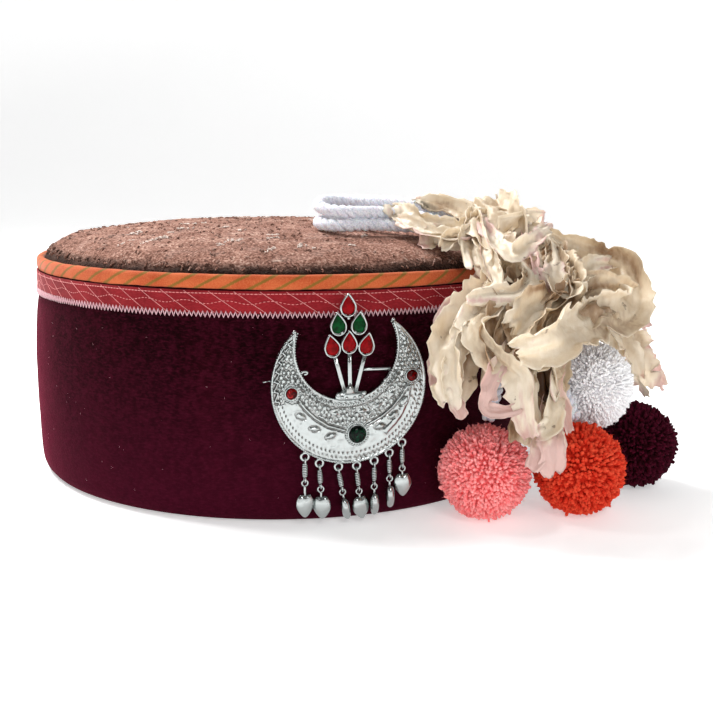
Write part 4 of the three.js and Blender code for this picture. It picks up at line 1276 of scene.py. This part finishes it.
# Each petal: where along the stalk it is tied, where its blade starts, right and up, the way it
# runs in each equal part of its length in degrees from straight up towards the right, its length
# and layer, which way its face turns, right and up, its width, how far its edges curl over in
# degrees, and how pale it is.
# Paleness is partly each petal's own tone, partly painted shade on petals deep in the plume.
PETALS = {
    "prong over the crown": (0.20, (72, 95), (-70, -80), 23, "middle", (0.1, 0.7), 9, 45, 0.3),
    "long blade": (0.22, (62, 92), (-80, -65), 23, "middle", (0, 0.7), 10, 50, 0.4),
    "pale blade": (0.24, (62, 90), (-80, -70), 20, "middle", (0, 0.9), 8, 40, 0.55),
    "flap": (0.22, (62, 89), (-80, -130), 13, "back", (0.1, 0.7), 8, 40, 0.5),
    "flap end": (0.24, (65, 91), (-100, -140), 9, "middle", (0.1, 0.7), 7, 45, 0.45),
    "root sheet": (0.14, (68, 95), (-155, -195), 14, "middle", (0.2, 0.3), 9, 50, 0.4),
    "upright fan": (0.20, (83, 92), (-40, -10), 12, "middle", (-0.2, 0.1), 17, 35, 0.3),
    "fan fold": (0.22, (84, 94), (-10, -25), 10, "back", (0.3, 0.1), 8, 60, 0.5),
    "upright lump": (0.26, (89, 92), (50, 90), 9, "behind", (0, 0.4), 9, 70, 0.5),
    "crossing strip": (0.12, (79, 86), (60, 60), 17, "cup", (0.1, 0.7), 7, 40, 0.7),
    "below crossing": (0.26, (87, 87), (145, 150), 10, "back", (0.2, 0.3), 12, 40, 0.2),
    "lilac piece": (0.30, (87, 81), (145, 145), 8, "front", (0.3, 0.1), 5, 60, 0.9),
    "central sheet": (0.12, (75, 89), (155, 160), 15, "middle", (0, 0.3), 17, 45, 0.35),
    "central fold": (0.14, (71, 90), (165, 165), 15, "front", (-0.5, 0.2), 8, 60, 0.45),
    "over the binding": (0.16, (70, 86), (170, 170), 10, "middle", (-0.4, 0.1), 6, 60, 0.5),
    "back right": (0.34, (100, 85), (100, 125), 16, "behind", (0.2, 0.7), 14, 40, 0.6),
    "back right low": (0.36, (98, 82), (100, 125), 17, "behind", (0.2, 0.4), 14, 35, 0.3),
    "back shelf": (0.40, (107, 75), (110, 140), 21, "behind", (0.5, 0.2), 15, 35, 0.35),
    "shelf tip": (0.40, (116, 73), (140, 130), 20, "middle", (0.3, 0.3), 6, 50, 0.7),
    "cup rim": (0.44, (94, 75), (65, 85), 24, "cup", (-0.1, 0.5), 9, 60, 0.4),
    "cup inside": (0.46, (98, 70), (75, 105), 22, "cup", (-0.1, 0.4), 18, 40, 0),
    "cup back": (0.48, (87, 71), (95, 100), 19, "front", (0, 0.3), 17, 30, -0.2),
    "cup left": (0.44, (91, 73), (-110, -135), 17, "front", (-0.1, 0.4), 14, 60, 0.1),
    "cup wall": (0.36, (118, 79), (175, 262, 258, 258, 258), 55, "cup", (0, 0.2), 16, 45, 0.25),
    "cup foot": (0.52, (82, 65), (200, 170), 12, "middle", (0, 0), 9, 60, 0.1),
    "far left edge": (0.34, (68, 74), (235, 195, 172), 35, "back", (-0.4, 0.2), 8, 50, 0.7),
    "left fold": (0.40, (68, 73), (230, 190, 172), 36, "middle", (-0.2, 0.2), 12, 50, 0.35),
    "left inner": (0.46, (69, 70), (205, 195, 185), 29, "back", (0.3, 0.1), 12, 70, 0),
    "strip on top": (0.36, (81, 75), (-95, -95), 18, "front", (0, 0.7), 8, 40, 0.5),
    "on coral": (0.50, (65, 66), (210, 185, 160), 30, "middle", (-0.2, 0), 9, 70, 0.6),
    "curl": (0.54, (71, 52), (205, 180, 95, 80), 20, "front", (0.2, 0.4), 6, 40, 0.8),
    "stick": (0.50, (70, 56), (190, 180), 13, "back", (0.5, 0), 5, 80, 0.2),
    "centre": (0.44, (80, 70), (215, 185), 20, "middle", (0, 0.2), 18, 35, -0.1),
    "long strip": (0.50, (66, 65), (145, 130, 170, 165), 37, "front", (-0.4, 0.1), 10, 55, 0.4),
    "strip back": (0.54, (74, 62), (145, 160), 18, "middle", (0.3, 0.1), 9, 60, -0.1),
    "trough back": (0.58, (84, 57), (175, 170), 21, "back", (0, 0), 9, 50, -0.9),
    "trough right": (0.60, (88, 56), (165, 190), 22, "middle", (-0.6, 0), 7, 70, -0.35),
    "trough rim": (0.64, (89, 56), (165, 185), 20, "front", (0.4, 0), 4.5, 60, 0.3),
    "trough lip": (0.58, (82, 51), (175, 165), 17, "middle", (0, 0.1), 6, 50, 0.3),
    "trough shade": (0.62, (84, 44), (190, 195), 15, "back", (0, 0), 10, 40, -0.4),
    "trough end": (0.86, (90, 43), (190, 250), 12, "front", (0, 0.2), 7.5, 50, 0.4),
    "pink strip": (0.70, (90, 48), (155, 165), 17, "front", (0.2, 0.1), 5, 45, 0.8),
    "lowest": (0.97, (88, 31), (170, 170), 10, "front", (0.1, 0), 9, 50, 0.78),
    "lowest left": (0.95, (86, 31), (195, 205), 8, "middle", (-0.2, 0), 7, 40, 0.74),
    "lowest right": (0.96, (91, 32), (165, 155), 8, "front", (0.2, 0), 6, 40, 0.74),
    "under cup": (0.62, (84, 56), (65, 65), 12, "front", (0.2, -0.1), 6, 60, 0),
    "fill": (0.50, (86, 72), (215, 195), 16, "middle", (0, 0.2), 15, 40, -0.2),
    "behind white": (0.42, (120, 60), (145, 155), 32, "behind", (0.5, 0.2), 16, 40, 0.4),
    "behind white low": (0.40, (116, 59), (140, 150), 26, "behind", (0.3, 0.2), 13, 40, 0.35),
    "tail": (0.40, (125, 58), (140, 145), 31, "behind", (0.6, 0.3), 6, 50, 0.8),
}


def petal_path(start, headings, length, layer):
    """Equal steps from the start, each on its own heading, on the plume's layer there."""
    ways = np.radians(headings)
    steps = joined(np.sin(ways), np.cos(ways)) * length / len(headings)
    x, z = (np.vstack([[0, 0], np.cumsum(steps, axis=0)]) + start).T
    out = np.interp(z, DRAPE["height"], DRAPE["out"]) + LAYERS[layer]
    return joined(x, np.maximum(x - DRAPE["side"], 0) - out, z)


def clear_of_cap(points):
    """Pushes points off the cap: up from its crown, or out from its band."""
    x, y, z = (points - AXIS).T
    radius, clear = np.hypot(x, y), 96.6
    top = crown_top(x, y) + 1.0
    on_top = (z > 80) & (radius < SHOULDER_OUTER) & (z < top)
    beside = (z <= 81) & (radius < clear) & ~on_top
    grow = np.where(beside, clear / np.maximum(radius, 1), 1)
    return joined(x * grow, y * grow, np.where(on_top, top, z)) + AXIS


def pleats(place):
    """A zigzag of straight folds between -0.5 and 0.5."""
    return np.abs(place % 2 - 1) - 0.5


class Strip:
    """A petal laid flat, with t from 0 to 1 along it and s from -1 to 1 across, and its noise."""

    def __init__(self, spine, width):
        self.width, self.seed = width, rng.uniform(0, 400, 3)
        self.t = np.linspace(0, 1, len(spine))[:, None]
        self.s = np.linspace(-1, 1, max(11, int(width / 0.7) | 1))[None]
        self.side, self.run = np.sign(self.s), self.t * steps_of(spine).sum()
        self.fibres = lumps(self.seed + joined(self.s * width / 2, self.run * 0.1, 5.0), 1.8)

    def noise(self, size, side=0.0):
        """Lumps along the strip; each side has its own."""
        return lumps(self.seed + joined(self.run, side * 40.0, 0.0), size)

    def halves(self):
        """Half of its width at each point, less where its edges are torn."""
        wide = np.interp(self.t, [0, 0.1, 0.35, 0.85, 0.96, 1], [0.3, 0.5, 1, 0.96, 0.8, 0.6])
        notch = np.clip(self.noise(3.1, self.side + 7) - 0.3, 0, 1)
        torn = 0.2 * self.noise(8, self.side) + 0.2 * self.noise(1.5, self.side) - 0.9 * notch
        return self.width / 2 * wide * (1 + torn * self.s**2)

    def folds(self, x):
        """How far its creases, fibres and straight pleats lift each point."""
        s, run, width, seed = self.s, self.run, self.width, self.seed
        places = seed + joined(x * 1.5, run * 0.75, 0.0)
        often, slope = rng.uniform(0.9, 1.8), rng.uniform(-0.09, 0.09)
        creased = (0.06 * width * creases(places, 8) + 0.4 * creases(places, 3.4)
                   + 0.16 * creases(places, 1.6))
        pleated = (0.13 * width * pleats(s * often + seed[0] + 0.5 * self.noise(14))
                   + 1.1 * pleats(s * 1.3 + run * slope + seed[1])
                   + 0.5 * pleats(s * 2.7 - run * (0.05 + slope) + seed[2]))
        wavy = 0.07 * width * s**2 * self.noise(5.5, self.side + 3)
        return creased + wavy + 0.3 * self.fibres + pleated

    def fraying(self):
        """How far its end is torn forward or back at each point."""
        place = joined(self.s * self.width / 2, 9.0, self.t * 0) + self.seed
        return (2.6 * lumps(place, 5) + 1.6 * lumps(place, 1.7)) * self.t**3


def petal_sheet(spine, face, width, curl):
    """A crumpled strip along a spine, with torn edges, and how near each point is to them."""
    strip = Strip(spine, width)
    t, s, half = strip.t, strip.s, strip.halves()
    along = unit(np.gradient(spine, axis=0))
    across = unit(np.cross(along, face))
    lift = np.cross(across, along)
    bend = np.maximum(math.radians(curl) * (1 + 0.7 * strip.noise(22)), 0.1)
    x, z = np.sin(bend * s) / bend * half, (1 - np.cos(bend * s)) / bend * half
    z = z + strip.folds(x)
    twist = 0.5 * strip.noise(26, 0.3)
    x, z = x * np.cos(twist) - z * np.sin(twist), x * np.sin(twist) + z * np.cos(twist)
    points = sum(way[:, None] * size[..., None]
                 for way, size in ((across, x), (lift, z), (along, strip.fraying())))
    edge = np.maximum(0.3 * np.abs(s) ** 6, 0.7 * t**8)
    return points + spine[:, None], edge + 0.6 * strip.fibres


def thick_sheet(points, thick):
    """The sheet with a second side and closed edges."""
    rows, columns = points.shape[:2]
    step = rows * columns
    down, across = np.gradient(points, axis=0), np.gradient(points, axis=1)
    normal = unit(np.cross(across, down) + 1e-9)
    both = np.stack([points + normal * thick / 2, points - normal * thick / 2])
    front, order = grid(rows, columns), np.arange(step).reshape(rows, columns)
    rim = np.concatenate([order[0], order[1:, -1], order[-1, -2::-1], order[-2:0:-1, 0]])
    ahead = np.roll(rim, -1)
    edge = joined(rim, rim + step, ahead + step, ahead)
    return both.reshape(-1, 3), np.concatenate([front, front[:, ::-1] + step, edge])


def clear_of(points, middles, reach):
    """Pushes points out to that distance from the nearest middle."""
    for part in np.array_split(np.arange(len(points)), max(1, len(points) // 4000)):
        gaps = points[part][:, None] - middles[None]
        nearest = np.linalg.norm(gaps, axis=-1).argmin(1)
        away = points[part] - middles[nearest]
        distance = np.linalg.norm(away, axis=-1, keepdims=True)
        points[part] += away / distance * np.maximum(reach - distance, 0)
    return points


def make_petals(material, routes):
    """All the petals, each a thin crumpled sheet tied to the stalk."""
    stalk = smooth_path(np.array(STALK) + AXIS, 1.0)
    gather = Gather().add(tube(stalk, 1.3 + 0.3 * lumps(stalk, 3), 8), 0.2)
    balls = np.array([node_box("pompom_" + colour)[0] for colour in POMPOMS])
    for tied, start, headings, length, layer, (right, up), width, curl, pale in PETALS.values():
        root = stalk[int(tied * (len(stalk) - 1))]
        blade = petal_path(start, headings, length, layer) + AXIS
        spine = smooth_path(np.vstack([root, blade]), 1.0)
        spine = spine + 0.6 * np.stack([lumps(spine + k * 50, 9) for k in range(3)], -1)
        points, edge = petal_sheet(spine, unit(np.array([right, -1, up])), width, curl)
        flat = clear_of_cap(points.reshape(-1, 3))
        flat = clear_of(flat, routes, CORD_DIAMETER / 2 + 0.9)
        flat = clear_of(flat, balls, POMPOM_RADIUS + 0.6)
        uneven = 0.2 * lumps(flat, 11).reshape(edge.shape)
        # Paleness, partly painted shade, with paler edges and random unevenness.
        marks = np.clip(0.62 * pale + 0.06 + 0.3 * edge + uneven, -0.4, 1)
        gather.add(thick_sheet(flat.reshape(points.shape), 0.16), np.tile(marks.ravel(), 2))
    return gather.build("petals", material, "petal", "petal_plume")


# ---------------------------------------------------------------- everything together


def main():
    make_camera()
    white = cord_material()
    cords = {name: make_cord(name, white) for name in CORD_ROUTES}
    pompoms = {colour: make_pompom(colour) for colour in POMPOMS}
    petals = make_petals(petal_material(), np.vstack([route[::3] for _, route in cords.values()]))
    for name, (piece, route) in cords.items():
        steps_of(route).sum() * MM
    wool, silver = wool_material(), silver_material()
    make_crown(wool)
    make_crown_loops(wool)
    make_velvet(velvet_material())
    make_ribbon(ribbon_material())
    make_binding(binding_material())
    make_stitches(thread_material("thread", tone(196, 112, 112), tone(222, 154, 150)))
    pale = thread_material("pale_thread", tone(186, 136, 142), tone(216, 176, 182))
    make_zigzag(pale)
    make_lint(pale)
    make_setting(silver, *make_crescent(silver))
    make_dangles(silver)
    make_pin(silver)
    make_enamel({"red": enamel_material("red_enamel", tone(92, 4, 9), tone(136, 10, 18)),
                 "green": enamel_material("green_enamel", tone(0, 38, 18), tone(0, 70, 34))})
    make_stones({"red": stone_material("red_stone", tone(52, 0, 3), tone(118, 6, 12),
                                       tone(224, 70, 70)),
                 "green": stone_material("green_stone", tone(0, 10, 7), tone(0, 52, 34),
                                         tone(30, 170, 120))})
    make_floor()
    make_light()


main()
